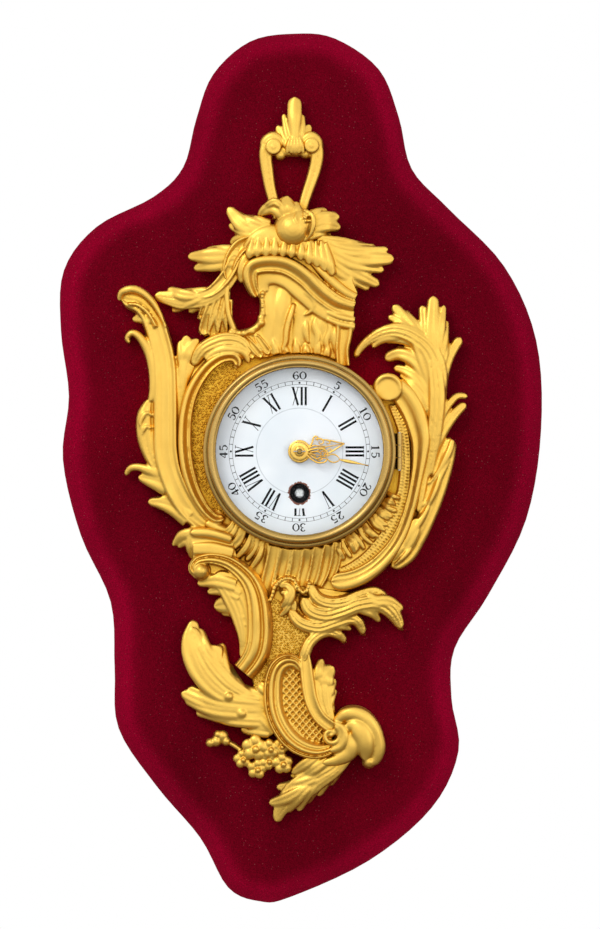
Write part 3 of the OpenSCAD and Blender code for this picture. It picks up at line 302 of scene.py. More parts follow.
pile_red = blend_colours(tree, "MIX", lint, pile_red, LINT_TONE)
tree.links.new(pile_red, shader.inputs["Base Color"])
relief(tree, shader, 0.5, 0.0008, pile)
print("velvet nodes", len(tree.nodes))

# %% [markdown]
# The dial is white enamel with black painted figures; the key hole's edge is chipped down to the
# red-brown copper. The glass passes lamplight straight through, so that the dial isn't in its shadow. The
# board's back is plain wood with a long grain.

# %% Enamel, paint, glass and wood
enamel, tree, shader = new_finish("white_enamel", Roughness=0.16, Coat_Weight=0.3, Coat_Roughness=0.05)
tint(tree, shader, noise(tree, 45), [(0.3, (0.70, 0.74, 0.80)), (0.7, (0.80, 0.83, 0.87))])
relief(tree, shader, 0.05, 0.001, noise(tree, 120))
paint, tree, shader = new_finish("black_dial_paint", Roughness=0.7, Specular_IOR_Level=0.04)
tint(tree, shader, noise(tree, 900), [(0.3, (0.002, 0.002, 0.003)), (0.7, (0.012, 0.012, 0.014))])
chipped, tree, shader = new_finish("chipped_copper", Roughness=0.7)
tint(tree, shader, noise(tree, 1400, 4, 0.7), [(0.3, (0.06, 0.012, 0.006)), (0.7, (0.30, 0.09, 0.05))])
clear, tree, shader = new_finish("clear_glass", Roughness=0.0, Transmission_Weight=1.0, IOR=1.12)
tint(tree, shader, noise(tree, 20), [(0.3, (0.98, 1, 0.99)), (0.7, (1, 1, 1))])
through = add(tree, "MixShader", None, i0=add(tree, "LightPath").outputs["Is Shadow Ray"],
              i1=shader.outputs[0], i2=add(tree, "BsdfTransparent").outputs[0])
tree.links.new(through.outputs[0], tree.nodes["Material Output"].inputs["Surface"])
board_wood, tree, shader = new_finish("board_wood", Roughness=0.6)
grain = noise(tree, 30, 5, 0.6, (9, 9, 0.7))
tint(tree, shader, grain, [(0.28, (0.17, 0.085, 0.035)), (0.5, (0.30, 0.17, 0.08)),
                           (0.72, (0.40, 0.25, 0.13))])
relief(tree, shader, 0.25, 0.0006, grain)
print("materials", len(bpy.data.materials))

# %% [markdown]
# Every ornament follows a curved route on the drawing. The routes are given by a few knots, and a
# smooth curve is drawn through them, as a carver draws a line through pricked points. These helpers
# walk along such a curve in even steps, so that widths and heights can be read off evenly too.

# %% Curves
def knot(values, i):
    """Value of a list, its ends repeated past both ends."""
    return values[max(0, min(len(values) - 1, i))]


def smooth_value(values, t):
    """Value a share t along a smooth curve through a list of numbers or vectors."""
    span = max(0.0, min(1.0, t)) * (len(values) - 1)
    i = min(int(span), len(values) - 2)
    s = span - i
    a, b, c, d = (knot(values, j) for j in range(i - 1, i + 3))
    return 0.5 * (2 * b + (c - a) * s + (2 * a - 5 * b + 4 * c - d) * s * s
                  + (3 * b - a - 3 * c + d) * s * s * s)


def read(value, t):
    """A plain number, or a list of numbers read a share t along it."""
    return value if isinstance(value, (int, float)) else smooth_value(value, t)


FINE_STEPS = 24


def walk(knots, steps):
    """Evenly spaced points on the smooth curve through the knots, and its length."""
    knots = [Vector(p) for p in knots]
    parts = FINE_STEPS * (len(knots) - 1)
    fine = [smooth_value(knots, k / parts) for k in range(parts + 1)]
    run = [0.0]
    for a, b in zip(fine, fine[1:]):
        run.append(run[-1] + (b - a).length)
    points, j = [], 0
    for k in range(steps + 1):
        goal = run[-1] * k / steps
        while j < len(run) - 2 and run[j + 1] < goal:
            j += 1
        share = (goal - run[j]) / max(run[j + 1] - run[j], 1e-9)
        points.append(fine[j].lerp(fine[j + 1], min(1.0, share)))
    return points, run[-1]


def heading(points, i):
    """Direction of a row of points at one of them."""
    return (knot(points, i + 1) - knot(points, i - 1)).normalized()


print("length of a straight route", round(walk([(0, 0), (3, 4)], 2)[1], 3), "mm")

# %% [markdown]
# Every piece ends in the same way: its mesh becomes an object with smooth faces and sharp edges, takes a
# finish, rides on a body of the frame, and hides the solids that it stands in for.

# %% Pieces of the part
def show(name, bm, material, body, nodes=(), sharp=38):
    """Makes a bmesh an object of the part, with its finish and body, and hides the solids it replaces."""
    mesh = bpy.data.meshes.new(name)
    bm.to_mesh(mesh)
    bm.free()
    for polygon in mesh.polygons:
        polygon.use_smooth = True
    mesh.set_sharp_from_angle(angle=math.radians(sharp))
    mesh.materials.append(material)
    piece = bpy.data.objects.new(name, mesh)
    scene.collection.objects.link(piece)
    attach(piece, body)
    if nodes:
        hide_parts(*nodes)
        print(name, len(mesh.polygons), "faces")
    return piece


# %% [markdown]
# The cover is one cloth stretched over the board: flat in the middle, rolling over the sloping border and
# down the rim, and cut out behind the clock where the movement sits. It could be simulated, but cloth
# that is glued on has no folds, so the outline is drawn once, moved inwards for each ring, and a grid
# laid over the rings.

# %% Velvet cover
BOARD_OUTLINE = [(-2.5, 210), (18, 207.5), (40, 192), (50, 168), (56.5, 142), (75, 122), (103, 93),
                 (119, 56), (121.5, 11), (114, -34), (95, -72), (78, -99), (76.5, -124), (80, -150.5),
                 (66.5, -179), (35, -205.5), (-5, -224), (-20, -226), (-36, -219), (-50, -194),
                 (-72, -168), (-91, -139), (-93, -109), (-95, -75.5), (-110, -42), (-119, -4), (-116, 28),
                 (-120, 61), (-118.5, 91), (-102, 113), (-73.5, 128), (-58.5, 143), (-52, 167),
                 (-43.5, 189.5), (-25, 206)]
GROUND = 19.0
# Distance in from the edge and height off the wall, from the back edge to the flat
COVER_SECTION = [(0.12, 0.5), (0.12, 3), (0.12, 6), (0.2, 7.8), (0.7, 9.4), (2.0, 11.2), (4.0, 13.2),
                 (6.2, 15.0), (8.5, 16.4), (11, 17.5), (13.5, 18.35), (16, 18.8), (18.5, GROUND)]
COVER_THICKNESS = 0.9
COVER_HOLE_R = 40.3
HOLE_SHARES = (0.2, 0.4, 0.6, 0.8, 1.0)
STEPS_TO_A_KNOT = 5


def board_ring(inset):
    """The board's outline moved inwards, as a smooth closed ring of points."""
    knots = [Vector(p) for p in BOARD_OUTLINE]
    m = len(knots)
    moved = []
    for i, p in enumerate(knots):
        way = (knots[(i + 2) % m] - knots[i - 2]).normalized()
        moved.append(p + inset * Vector((way.y, -way.x)))
    ring = []
    for i in range(m):
        four = [moved[i - 1], moved[i], moved[(i + 1) % m], moved[(i + 2) % m]]
        ring += [smooth_value(four, (1 + k / STEPS_TO_A_KNOT) / 3) for k in range(STEPS_TO_A_KNOT)]
    return ring


cloth = bmesh.new()
rings = [[stand(p.x, p.y, depth) for p in board_ring(inset)] for inset, depth in COVER_SECTION]
ring_size = len(rings[0])
flat_edge = board_ring(COVER_SECTION[-1][0])
for share in HOLE_SHARES:
    rings.append([stand(*p.lerp(p.normalized() * COVER_HOLE_R, share), GROUND) for p in flat_edge])
made = bmesh.ops.create_grid(cloth, x_segments=ring_size, y_segments=len(rings) - 1, size=0.5)["verts"]
for v in made:
    ring = rings[round((v.co.y + 0.5) * (len(rings) - 1))]
    v.co = ring[round((v.co.x + 0.5) * ring_size) % ring_size]
bmesh.ops.remove_doubles(cloth, verts=cloth.verts[:], dist=1e-6)
cloth.normal_update()
if sum(f.normal.y * f.calc_area() for f in cloth.faces) > 0:
    bmesh.ops.reverse_faces(cloth, faces=cloth.faces[:])
cloth_area = sum(f.calc_area() for f in cloth.faces)
bmesh.ops.solidify(cloth, geom=cloth.faces[:], thickness=COVER_THICKNESS * MM)
velvet = show("velvet", cloth, velvet_finish, "case", ["velvet_cover"], 60)

# %% [markdown]
# The castings are thin shells of bronze, hollow behind, built up from mouldings and leaf lobes that
# sweep along a route. Their sections are few and come back everywhere, as a moulder's scrapers do, so
# each is drawn once here.

# %% Sections of the mouldings
# Sections, as shares of the width across and of the relief below the crest
ROLL = [(-0.5, -1), (-0.46, -0.6), (-0.38, -0.3), (-0.26, -0.1), (-0.13, -0.02), (0, 0), (0.13, -0.02),
        (0.26, -0.1), (0.38, -0.3), (0.46, -0.6), (0.5, -1)]
FLAT = [(-0.5, -0.5), (-0.44, -0.18), (-0.34, -0.04), (-0.17, 0), (0, 0), (0.17, 0), (0.34, -0.04),
        (0.44, -0.18), (0.5, -0.5)]
SCROLL = [(-0.5, -0.9), (-0.46, -0.45), (-0.38, -0.14), (-0.26, -0.02), (-0.12, -0.04), (0.02, -0.22),
          (0.12, -0.4), (0.22, -0.48), (0.3, -0.44), (0.36, -0.34), (0.42, -0.36), (0.47, -0.6),
          (0.5, -1)]
COVE = [(-0.5, -0.8), (-0.47, -0.3), (-0.42, -0.06), (-0.36, 0), (-0.3, -0.1), (-0.22, -0.32),
        (-0.1, -0.5), (0.04, -0.56), (0.18, -0.48), (0.28, -0.28), (0.35, -0.08), (0.41, -0.02),
        (0.46, -0.2), (0.5, -0.7)]
LOBE = [(-0.5, -1), (-0.45, -0.55), (-0.36, -0.2), (-0.24, -0.02), (-0.1, -0.05), (0, -0.14),
        (0.1, -0.05), (0.24, -0.02), (0.36, -0.2), (0.45, -0.55), (0.5, -1)]
BLADE = [(-0.5, -1), (-0.4, -0.5), (-0.25, -0.18), (-0.1, -0.02), (0, 0), (0.1, -0.02), (0.25, -0.18),
         (0.4, -0.5), (0.5, -1)]
VEINED = [(-0.5, -1), (-0.47, -0.5), (-0.42, -0.24), (-0.34, -0.28), (-0.25, -0.06), (-0.165, -0.12),
          (-0.085, 0), (0, -0.22), (0.085, 0), (0.165, -0.14), (0.25, -0.06), (0.34, -0.28),
          (0.42, -0.24), (0.47, -0.5), (0.5, -1)]
RIBBED = [(-0.5, -1), (-0.46, -0.5), (-0.4, -0.2), (-0.31, -0.06), (-0.22, -0.28), (-0.13, -0.08),
          (-0.03, 0), (0.07, -0.26), (0.16, -0.06), (0.25, -0.04), (0.33, -0.3), (0.41, -0.24),
          (0.47, -0.55), (0.5, -1)]
FLUTE = [(-0.5, -0.6), (-0.46, -0.14), (-0.4, 0), (-0.32, -0.14), (-0.22, -0.42), (-0.1, -0.58),
         (0, -0.62), (0.1, -0.58), (0.22, -0.42), (0.32, -0.14), (0.4, 0), (0.46, -0.14), (0.5, -0.6)]
print("sections", [len(p) for p in (ROLL, FLAT, SCROLL, COVE, LOBE, BLADE, VEINED, RIBBED, FLUTE)])

# %% [markdown]
# A strip sweeps a section along a route. Sculpting would do, but can't be repeated, and a plain
# bevelled curve has the same section everywhere. So a grid is laid along the route: its columns take
# the section, its rows the width and height, and solidify gives the wall. A foot takes the sides down
# to the ground.

# %% Cast strips
TIP_WIDTH = 0.9
LEAST = 0.3
FOOT = 0.3
ROW_LENGTH, LEAST_ROWS, MOST_ROWS = 0.9, 8, 120


def round_off(run, length, half, ends):
    """Share of the width left near a rounded start ("a") or end ("b") of a route."""
    share = 1.0
    for mark, gone in (("a", run), ("b", length - run)):
        if mark in ends and gone < half:
            share = min(share, math.sqrt(max(0.0, 1 - (1 - gone / half) ** 2)))
    return share


def thicken(bm, verts, wall):
    """Gives a fresh sheet its wall, behind its face."""
    faces = list({f for v in verts for f in v.link_faces})
    for part in faces + list(verts):
        part.normal_update()
    bmesh.ops.solidify(bm, geom=faces, thickness=wall * MM)


def strip(bm, knots, width, top, profile=ROLL, crown=3.0, wall=1.6, foot=None, ends="", ground=GROUND):
    """Cast strip along a route: its width, the height of its crest, its section and how deep that is.

    A pair of widths gives the left and the right side. With a foot the sides go down to that height.
    """
    length = walk(knots, 4)[1]
    rows = max(LEAST_ROWS, min(MOST_ROWS, int(length / ROW_LENGTH)))
    points = walk(knots, rows)[0]
    section = [(across, drop, False) for across, drop in profile]
    if foot is not None:
        section = [(-0.5, 0, True)] + section + [(0.5, 0, True)]
    columns = len(section) - 1
    left, right = width if isinstance(width, tuple) else (width, width)
    made = bmesh.ops.create_grid(bm, x_segments=columns, y_segments=rows, size=0.5)["verts"]
    for v in made:
        row = round((v.co.y + 0.5) * rows)
        t = row / rows
        across, drop, low = section[round((v.co.x + 0.5) * columns)]
        way = heading(points, row)
        w = max(LEAST, read(left if across < 0 else right, t))
        u = across * (max(TIP_WIDTH, w * round_off(t * length, length, w / 2, ends)) if ends else w)
        height = foot if low else max(LEAST, read(top, t) + read(crown, t) * drop)
        v.co = stand(points[row].x + way.y * u, points[row].y - way.x * u, ground + height)
    thicken(bm, made, wall)


print("rows of a strip", LEAST_ROWS, "to", MOST_ROWS)

# %% [markdown]
# Acanthus leaves, round bosses and flat plates come back all over the clock, so each has a small maker
# of its own. A leaf finds, for every tip, the nearest place on its midrib and sends a lobe out to it.

# %% Leaves, bosses and plates
def nearest(knots, tip):
    """Share along a route at which it comes nearest a point."""
    shares = [k / FINE_STEPS for k in range(FINE_STEPS + 1)]
    points = [Vector(p) for p in knots]
    return min(shares, key=lambda t: (smooth_value(points, t) - Vector(tip)).length)


def between(pairs, t):
    """Straight-line reading of sorted (place, value) pairs."""
    for (a, first), (b, second) in zip(pairs, pairs[1:]):
        if t <= b:
            return first + (second - first) * (t - a) / max(b - a, 1e-6)
    return pairs[-1][1]


LOBE_WIDTHS = [0.5, 0.9, 1.2, 1.3, 1.15, 0.85]
LOBE_WALL = 2.4


def leaf(bm, rib, tips, lobe, high, low, crown=1.5, reach=0.8):
    """Acanthus leaf: a veined blade along a midrib, and lobes that carry it out to rounded tips."""
    points = [Vector(p) for p in rib]
    sides = {-1: [], 1: []}
    for i, tip in enumerate(tips):
        f = nearest(rib, tip)
        near = smooth_value(points, f)
        way = smooth_value(points, min(1, f + 0.04)) - smooth_value(points, max(0, f - 0.04))
        off = Vector(tip) - near
        sides[1 if off.x * way.y - off.y * way.x > 0 else -1].append((f, 2 * reach * off.length))
        # The lobe leaves the rib well before the place nearest its tip and bends out to it
        a, b = smooth_value(points, max(0.0, f - 0.4)), smooth_value(points, max(0.06, f - 0.16))
        route = [a, a * 0.3 + b * 0.4 + Vector(tip) * 0.3, a * 0.05 + b * 0.3 + Vector(tip) * 0.65,
                 Vector(tip)]
        lift = 0.3 * (i % 2)
        strip(bm, route, [lobe * q for q in LOBE_WIDTHS],
              [high * 0.85, high * 0.94 + lift, (high + low) / 2 + 0.7 + lift, low], LOBE, crown, ends="b")
    shares = [k / 8 for k in range(9)]
    blade = []
    for side in (-1, 1):
        spread = [(0, lobe * 1.4)] + sorted(sides[side]) + [(1, lobe * 0.8)]
        blade.append([max(lobe, between(spread, t)) for t in shares])
    strip(bm, rib, tuple(blade), [high * 0.95, high, (high + low) / 2 + 0.8, low], VEINED, crown, ends="b")


def lay_rows(bm, table, heights, section, crown, **more):
    """A strip for each row of a table of routes and widths."""
    for route, widths in table:
        strip(bm, route, widths, heights, section, crown, **more)


def round_outline(x, y, r, corners=24):
    """Outline of a circle on the drawing."""
    turns = [k * math.tau / corners for k in range(corners)]
    return [(x + r * math.cos(turn), y + r * math.sin(turn)) for turn in turns]


def boss(bm, x, y, r, top, low=0.0):
    """Rounded button: a ball squashed between two heights above the ground."""
    made = bmesh.ops.create_uvsphere(bm, u_segments=24, v_segments=14, radius=1)["verts"]
    bmesh.ops.rotate(bm, verts=made, cent=(0, 0, 0), matrix=Matrix.Rotation(math.radians(90), 3, "X"))
    bmesh.ops.scale(bm, verts=made, vec=(r * MM, (top - low) / 2 * MM, r * MM))
    bmesh.ops.translate(bm, verts=made, vec=stand(x, y, GROUND + (top + low) / 2))


def plate(bm, outline, top, thick):
    """Flat plate with an outline on the drawing, its face at a height above the ground."""
    corners = [bm.verts.new(stand(x, y, GROUND + top)) for x, y in outline]
    face = bm.faces.new(corners)
    face.normal_update()
    if face.normal.y > 0:
        bmesh.ops.reverse_faces(bm, faces=[face])
    thicken(bm, corners, thick)


def inside(x, y, outline):
    """Whether a point of the drawing lies inside an outline."""
    hit = False
    for (ax, ay), (bx, by) in zip(outline, outline[1:] + outline[:1]):
        if (ay > y) != (by > y) and x < (bx - ax) * (y - ay) / (by - ay) + ax:
            hit = not hit
    return hit


print("lobe widths", LOBE_WIDTHS)

# %% [markdown]
# The overlapping shells of a casting are melted into one skin with a voxel remesh and softened, as wax
# is smoothed before it is cast. Booleans would keep every edge knife-sharp and take far longer.

# %% Melting
VOXEL = 0.5


def melted(bm, voxel, rounds):
    """One skin round overlapping shells, softened by a few rounds of smoothing."""
    rough = bpy.data.meshes.new("rough")
    bm.to_mesh(rough)
    bm.free()
    carrier = bpy.data.objects.new("rough", rough)
    scene.collection.objects.link(carrier)
    melt = carrier.modifiers.new("melt", "REMESH")
    melt.mode = "VOXEL"
    melt.voxel_size = voxel * MM
    soften = carrier.modifiers.new("soften", "SMOOTH")
    soften.iterations = rounds
    skin = bpy.data.meshes.new_from_object(carrier.evaluated_get(bpy.context.evaluated_depsgraph_get()))
    bpy.data.objects.remove(carrier)
    bpy.data.meshes.remove(rough)
    made = bmesh.new()
    made.from_mesh(skin)
    bpy.data.meshes.remove(skin)
    return made


def casting(name, bm, nodes, voxel=VOXEL, rounds=3):
    """Gilt casting of the case, melted into one skin, in place of its solid."""
    show(name, melted(bm, voxel, rounds), gilt, "case", nodes, 75)


print("castings are melted at", VOXEL, "mm")

# %% [markdown]
# Two great C-scrolls clasp the dial. On the real clock each is a rounded outer roll that falls away in
# a hollow to a thin fillet on the dial's side. Three tubes side by side could stand for it, but a swept
# section gives all three at once. The left scroll ends in a small curl above.

# %% Left C-scroll
bm = bmesh.new()
LEFT_C = [(-37.5, -33.2), (-42, -33.4), (-46.5, -29.6), (-50.5, -23.5), (-53.6, -16.5), (-56, -8),
          (-57.2, 1), (-57.3, 10), (-56.6, 19), (-54.2, 28.5), (-50, 36.5), (-45, 42.6), (-39.5, 46.4),
          (-34, 47.4), (-31, 45.6), (-30.4, 42.2)]
strip(bm, LEFT_C, [4.6, 5.6, 6.4, 7, 7.2, 7.2, 7, 6.8, 6.4, 6, 5.4, 4.6],
      [11.5, 12.5, 13, 13, 13, 13, 13, 12.5], SCROLL, 5.4, foot=FOOT, ends="ab")
strip(bm, [(-53, 43), (-49, 50), (-43, 53.8), (-36, 55.6), (-29, 54), (-24.5, 48.5)],
      [5, 7, 8, 8.5, 7.5, 5], [10, 11.4, 12, 12.4, 12, 11], RIBBED, 2.6, foot=FOOT, ends="ab")
strip(bm, [(-47, 46), (-41, 50), (-35, 51.2), (-28, 49.4), (-25, 44)], [3, 4, 4.6, 4.6, 3],
      [11, 12.2, 12.6, 12, 11], ROLL, 2.2, ends="ab")
plate(bm, [(-52, -30), (-40, -29), (-32, -36), (-29, -46), (-44, -42)], 8, 7.6)
plate(bm, [(-61, 16), (-59, 44), (-49, 51), (-40, 51), (-47, 41), (-55, 28)], 8, 7.6)
strip(bm, [(-47, -35.4), (-41, -38), (-34, -40.4)], [4.6, 5.4, 4.6], [10.4, 11, 10.6], ROLL, 2.4,
      foot=FOOT, ends="ab")
casting("left_c_scroll_gilt", bm, ["left_c_scroll"])

# %% [markdown]
# The right scroll ends in a flat round disc above and a blunt thumb below. The disc is a plate with a
# roll round its rim; a ball would stand too proud.

# %% Right C-scroll
bm = bmesh.new()
RIGHT_C = [(47.5, 32.5), (52.8, 27), (56.6, 20.7), (59.2, 13.2), (60.6, 5.7), (60.2, -1.8), (59.2, -9.3),
           (57.6, -17.8), (56, -25), (54, -32), (51.4, -39.2), (47.6, -46.4), (42.6, -52.8),
           (36.8, -58.2), (29.8, -62.4), (22.8, -64.6), (15.6, -65)]
strip(bm, RIGHT_C, [11, 12.4, 12.6, 12, 10.4, 8.4, 7, 6.4, 6.4, 6.6, 7, 7.6, 8.2, 9, 9.6, 10, 9.8],
      [12.5, 13, 13, 13, 13, 12.5, 12.5, 12.5, 12, 12], SCROLL, [3, 4.2, 4.6, 4.6, 4.4, 4.2, 4.2, 4, 3.4],
      foot=FOOT, ends="b")
DISC_X, DISC_Y, DISC_R = 44.0, 31.4, 6.2
DISC_TURNS = [math.radians(degrees) for degrees in range(-60, 241, 20)]
disc = [(DISC_X + DISC_R * math.cos(turn), DISC_Y + DISC_R * math.sin(turn)) for turn in DISC_TURNS]
strip(bm, disc, [1.6, 2.4, 3, 3, 2.4, 1.6], [13, 13.6, 14, 14, 13.6, 13], ROLL, 2, foot=FOOT, ends="ab")
plate(bm, round_outline(DISC_X, DISC_Y, DISC_R), 13.2, 12.8)
casting("right_c_scroll_gilt", bm, ["right_c_scroll"])

# %% [markdown]
# The ground inside the left scroll is stippled with a punch. A bump in the finish would be cheaper, but
# stays flat when seen from the side, so there are small mounds, shuffled by a seed so that they fall
# the same each time.

# %% Stippled panel
LEFT_PANEL = [(-28.6, 38.8), (-33, 45), (-38.4, 43.4), (-45.4, 38.4), (-50, 31), (-53, 21), (-54, 10),
              (-53.6, 0), (-52, -9), (-49, -18), (-45, -26), (-40, -31.4), (-35.6, -32.2), (-43, -21),
              (-47, -9), (-48, 2), (-46.6, 13), (-42.4, 23.6), (-36, 32)]
ROW_SHARE = 0.9
STRAY = 0.27
MOUND = (0.38, 0.54)
SUNK = 0.1


def punched(name, outline, top, step, seed):
    """Fine grain punched into a ground: small mounds in staggered rows, none quite in line."""
    bm = bmesh.new()
    shuffle = random.Random(seed)
    left, right = min(x for x, y in outline), max(x for x, y in outline)
    low, high = min(y for x, y in outline), max(y for x, y in outline)
    for row in range(int((high - low) / step / ROW_SHARE)):
        for column in range(int((right - left) / step) + 1):
            x = left + (column + 0.5 * (row % 2)) * step + shuffle.uniform(-STRAY, STRAY) * step
            y = high - row * step * ROW_SHARE + shuffle.uniform(-STRAY, STRAY) * step
            if inside(x, y, outline):
                r = shuffle.uniform(*MOUND) * step * MM
                ball = bmesh.ops.create_icosphere(bm, subdivisions=1, radius=r)["verts"]
                bmesh.ops.translate(bm, verts=ball, vec=stand(x, y, GROUND + top - SUNK))
    show(name, bm, matt_gilt, "case", (), 80)


punched("left_panel_stipple", LEFT_PANEL, 7.0, 1.45, 5)

# %% [markdown]
# Below the dial a rocaille shell fans out, with broad soft flutes in its middle. They could be grooves
# cut into a plate; here each is a hollow strip on a common ground, so that each has its own width and
# height.

# %% Shell and flutes
def from_dial(degrees, r):
    """Point of the drawing at an angle from three o'clock and a radius."""
    return Vector((math.cos(math.radians(degrees)), math.sin(math.radians(degrees)))) * r


bm = bmesh.new()
SHELL_GROUND = [(-34, -34), (-36, -42), (-28, -58), (-24, -66), (-19, -75), (-8, -82), (2, -80),
                (14, -72), (24, -66), (38, -57), (49, -42), (48, -33), (40, -27), (26, -40), (0, -47),
                (-24, -42)]
plate(bm, SHELL_GROUND, 7.6, 7.2)
FLUTES = [([(-17.4, -45), (-19, -54), (-21.4, -63), (-22.4, -70)], [5, 6.4, 7, 5]),
          ([(-12.4, -47), (-14, -56), (-16, -65), (-17.4, -73)], [6, 6.6, 6.6, 5]),
          ([(-6.6, -48.4), (-8, -56), (-9.6, -63), (-11, -69)], [6, 6.4, 6, 5]),
          ([(-1, -48.6), (-1.6, -56), (-3, -62), (-4, -66)], [6, 6.2, 6, 5]),
          ([(4.4, -48.4), (3.6, -56), (2, -62), (1, -67.4)], [6, 6.2, 6, 4.6]),
          ([(9.6, -47.6), (8.4, -55), (6.8, -62), (4.6, -68)], [6, 6, 5.6, 4]),
          ([(14.4, -46.4), (13.6, -54), (12, -61), (9.4, -67)], [5, 5.6, 5.4, 4]),
          ([(18.6, -45), (18.4, -52), (17.2, -58), (14.6, -64)], [4.4, 5, 5, 4])]
for i, (flute, widths) in enumerate(FLUTES):
    strip(bm, flute, widths, [11.4, 10.2 + 0.5 * (i % 2), 9.8, 9.4], FLUTE, [1.6, 2.4, 2.4, 1.8], foot=FOOT)
print("shell", len(bm.faces), "faces")

# %% [markdown]
# Left of the flutes the shell breaks into ruffles, and right of them into ragged rock-work with a band
# of fine hatching along the scroll. Ruffles and rocks point to the dial's middle, so they are placed by
# angle and radius, and a seeded shuffle makes them uneven.

# %% Ruffles, rock-work and hatching
shuffle = random.Random(11)
RUFFLES, RUFFLE_IN = 8, 47.6
for k in range(RUFFLES):
    angle = 227 + 24 * k / RUFFLES + shuffle.uniform(-0.8, 0.8)
    far = 57 + 6 * k / RUFFLES + shuffle.uniform(-2, 2)
    route = [from_dial(angle, RUFFLE_IN), from_dial(angle + 1, (RUFFLE_IN + far) / 2),
             from_dial(angle - 0.6, far)]
    widths = [2.6, 3.4 + shuffle.uniform(-0.8, 0.8), 3]
    heights = [11.8, 11.6 + shuffle.uniform(-0.8, 0.8), 10]
    strip(bm, route, widths, heights, LOBE, 2.2, foot=FOOT, ends="b")
ROCKS, ROCK_IN = 15, 48.2
for k in range(ROCKS):
    angle = 292 + 42 * k / (ROCKS - 1) + shuffle.uniform(-0.9, 0.9)
    far = 56 + 2.4 * math.cos(math.radians((angle - 300) * 3)) + shuffle.uniform(-1.8, 1.2)
    bend = angle + shuffle.uniform(-1, 1)
    route = [from_dial(angle, ROCK_IN), from_dial(bend, (ROCK_IN + far) / 2), from_dial(angle + 0.4, far)]
    widths = [2.4, 3.2 + shuffle.uniform(-0.8, 1.2), 2.6 + shuffle.uniform(-0.6, 0.8)]
    heights = [9.6, 10.2 + shuffle.uniform(-0.8, 0.8), 9.4]
    strip(bm, route, widths, heights, LOBE, 2, foot=FOOT, ends="b")
HATCH_LINE = [(46.4, 22.6), (51.2, 12), (52.6, 2), (52.8, -8), (52, -18), (50.2, -27), (46.6, -36.6),
              (41, -45), (34, -52.4), (26.6, -57.4), (20.4, -60)]
HATCH_WIDTHS = [4, 5.6, 6, 6, 6.4, 7, 7.4, 7.2, 6.2, 5, 3.6]
HATCHES = 120
line = walk(HATCH_LINE, HATCHES)[0]
for k, p in enumerate(line):
    way = heading(line, k)
    half = Vector((way.y, -way.x)) * read(HATCH_WIDTHS, k / HATCHES) * 0.42
    lean = way * (0.9 if k % 2 else -0.9)
    strip(bm, [p - half - lean, p + half + lean], 0.85, 8.7, ROLL, 1, ends="ab")
strip(bm, HATCH_LINE, HATCH_WIDTHS, 8, FLAT, 1, foot=FOOT)
print("with rock-work", len(bm.faces), "faces")

# %% [markdown]
# A festoon of small beads closes the shell below, and a few folded leaves hang from its middle. An
# array along a curve could set the beads, but they belong to the same skin as the shell, so they are
# bosses along a route.

# %% Festoon of beads
BEADS = [(-22.8, -64.4), (-23.2, -69.2), (-20.8, -72.8), (-17.4, -74.2), (-14.8, -74.2), (-13.2, -70.2),
         (-12.2, -67.2), (-9.2, -64.2), (-5.8, -63.2), (-2.8, -64.2), (-1.2, -67.2), (1.2, -70.2),
         (3.8, -69.2), (4.8, -65.8)]
strip(bm, BEADS, 2.2, 9.8, ROLL, 1.6, foot=FOOT)
for p in walk(BEADS, 24)[0]:
    boss(bm, p.x, p.y, 1.3, 12, 8)
FOLDED = [([(-10, -67.4), (-6.4, -66.6), (-4, -69.6), (-5, -74), (-8.4, -78.6)], [3, 4.4, 4.8, 4.8, 3.4],
           [11, 12.6, 13, 12.6, 10.6]),
          ([(-9.4, -70.6), (-7, -70.4), (-6.4, -74), (-9.4, -77.6)], [2.4, 3.4, 3.4, 2.4],
           [11.8, 12.8, 12.6, 11]),
          ([(-4.4, -73), (-6, -78.4), (-10, -82)], [3, 3.6, 2.6], [12, 11.8, 10]),
          ([(-2.6, -74), (-3, -79.6), (-6.4, -84)], [3, 3.4, 2.4], [11.4, 11, 9.6])]
for route, widths, heights in FOLDED:
    strip(bm, route, widths, heights, LOBE, 2, foot=FOOT, ends="ab")
casting("rocaille_apron_gilt", bm, ["rocaille_apron"], voxel=0.4, rounds=2)

# %% [markdown]
# Over the dial stands a hood: a broken arch with a rolled edge and a hollow soffit, a cornice beside it
# and a fluted pilaster at the right. They are swept mouldings, because each keeps its section along its
# run.

# %% Hood arch and pilaster
bm = bmesh.new()
HOOD_ARCH = [(-21.4, 77), (-23.8, 82.5), (-24.8, 88), (-23.6, 91.4), (-20.8, 92.9), (-15.6, 93.6),
             (-9.6, 93.2), (-4.8, 91.6), (-0.2, 88.8), (4.1, 85.2), (8.1, 81), (12.8, 76.9), (18.6, 73.2),
             (27, 70.6)]
strip(bm, HOOD_ARCH, [5, 7.5, 9, 9.6, 9.8, 9.8, 9.6, 9.4, 9.2, 9],
      [13, 15, 16, 16.2, 16.2, 16, 15.6, 15, 14.6, 14], SCROLL, 5.6, foot=FOOT, ends="a")
strip(bm, [(-19, 80), (-18.6, 84), (-16.4, 86.8), (-12, 87.8), (-8, 86.8), (-4, 84.6), (0, 81), (4.4, 77),
           (9.4, 72.6), (15.4, 68.8), (26.6, 66)], [7, 9, 9.6, 9.4, 8.6, 7.4],
      [11, 11.8, 12.4, 12.4, 12.2, 12.2], FLAT, 1.6, foot=FOOT)
plate(bm, [(-23.4, 79), (-24.6, 88), (-21, 93), (-10, 93), (2, 86), (-8, 83), (-18, 80)], 9.8, 9.4)
strip(bm, [(4, 96), (8.4, 92.4), (12.4, 88.4), (17.2, 83.8), (22.8, 79.4), (28.2, 76.6)],
      [3, 4.6, 5.4, 5.6, 5.4, 5], [13, 14, 14.2, 14, 13.8, 13.4], ROLL, 3, foot=FOOT)
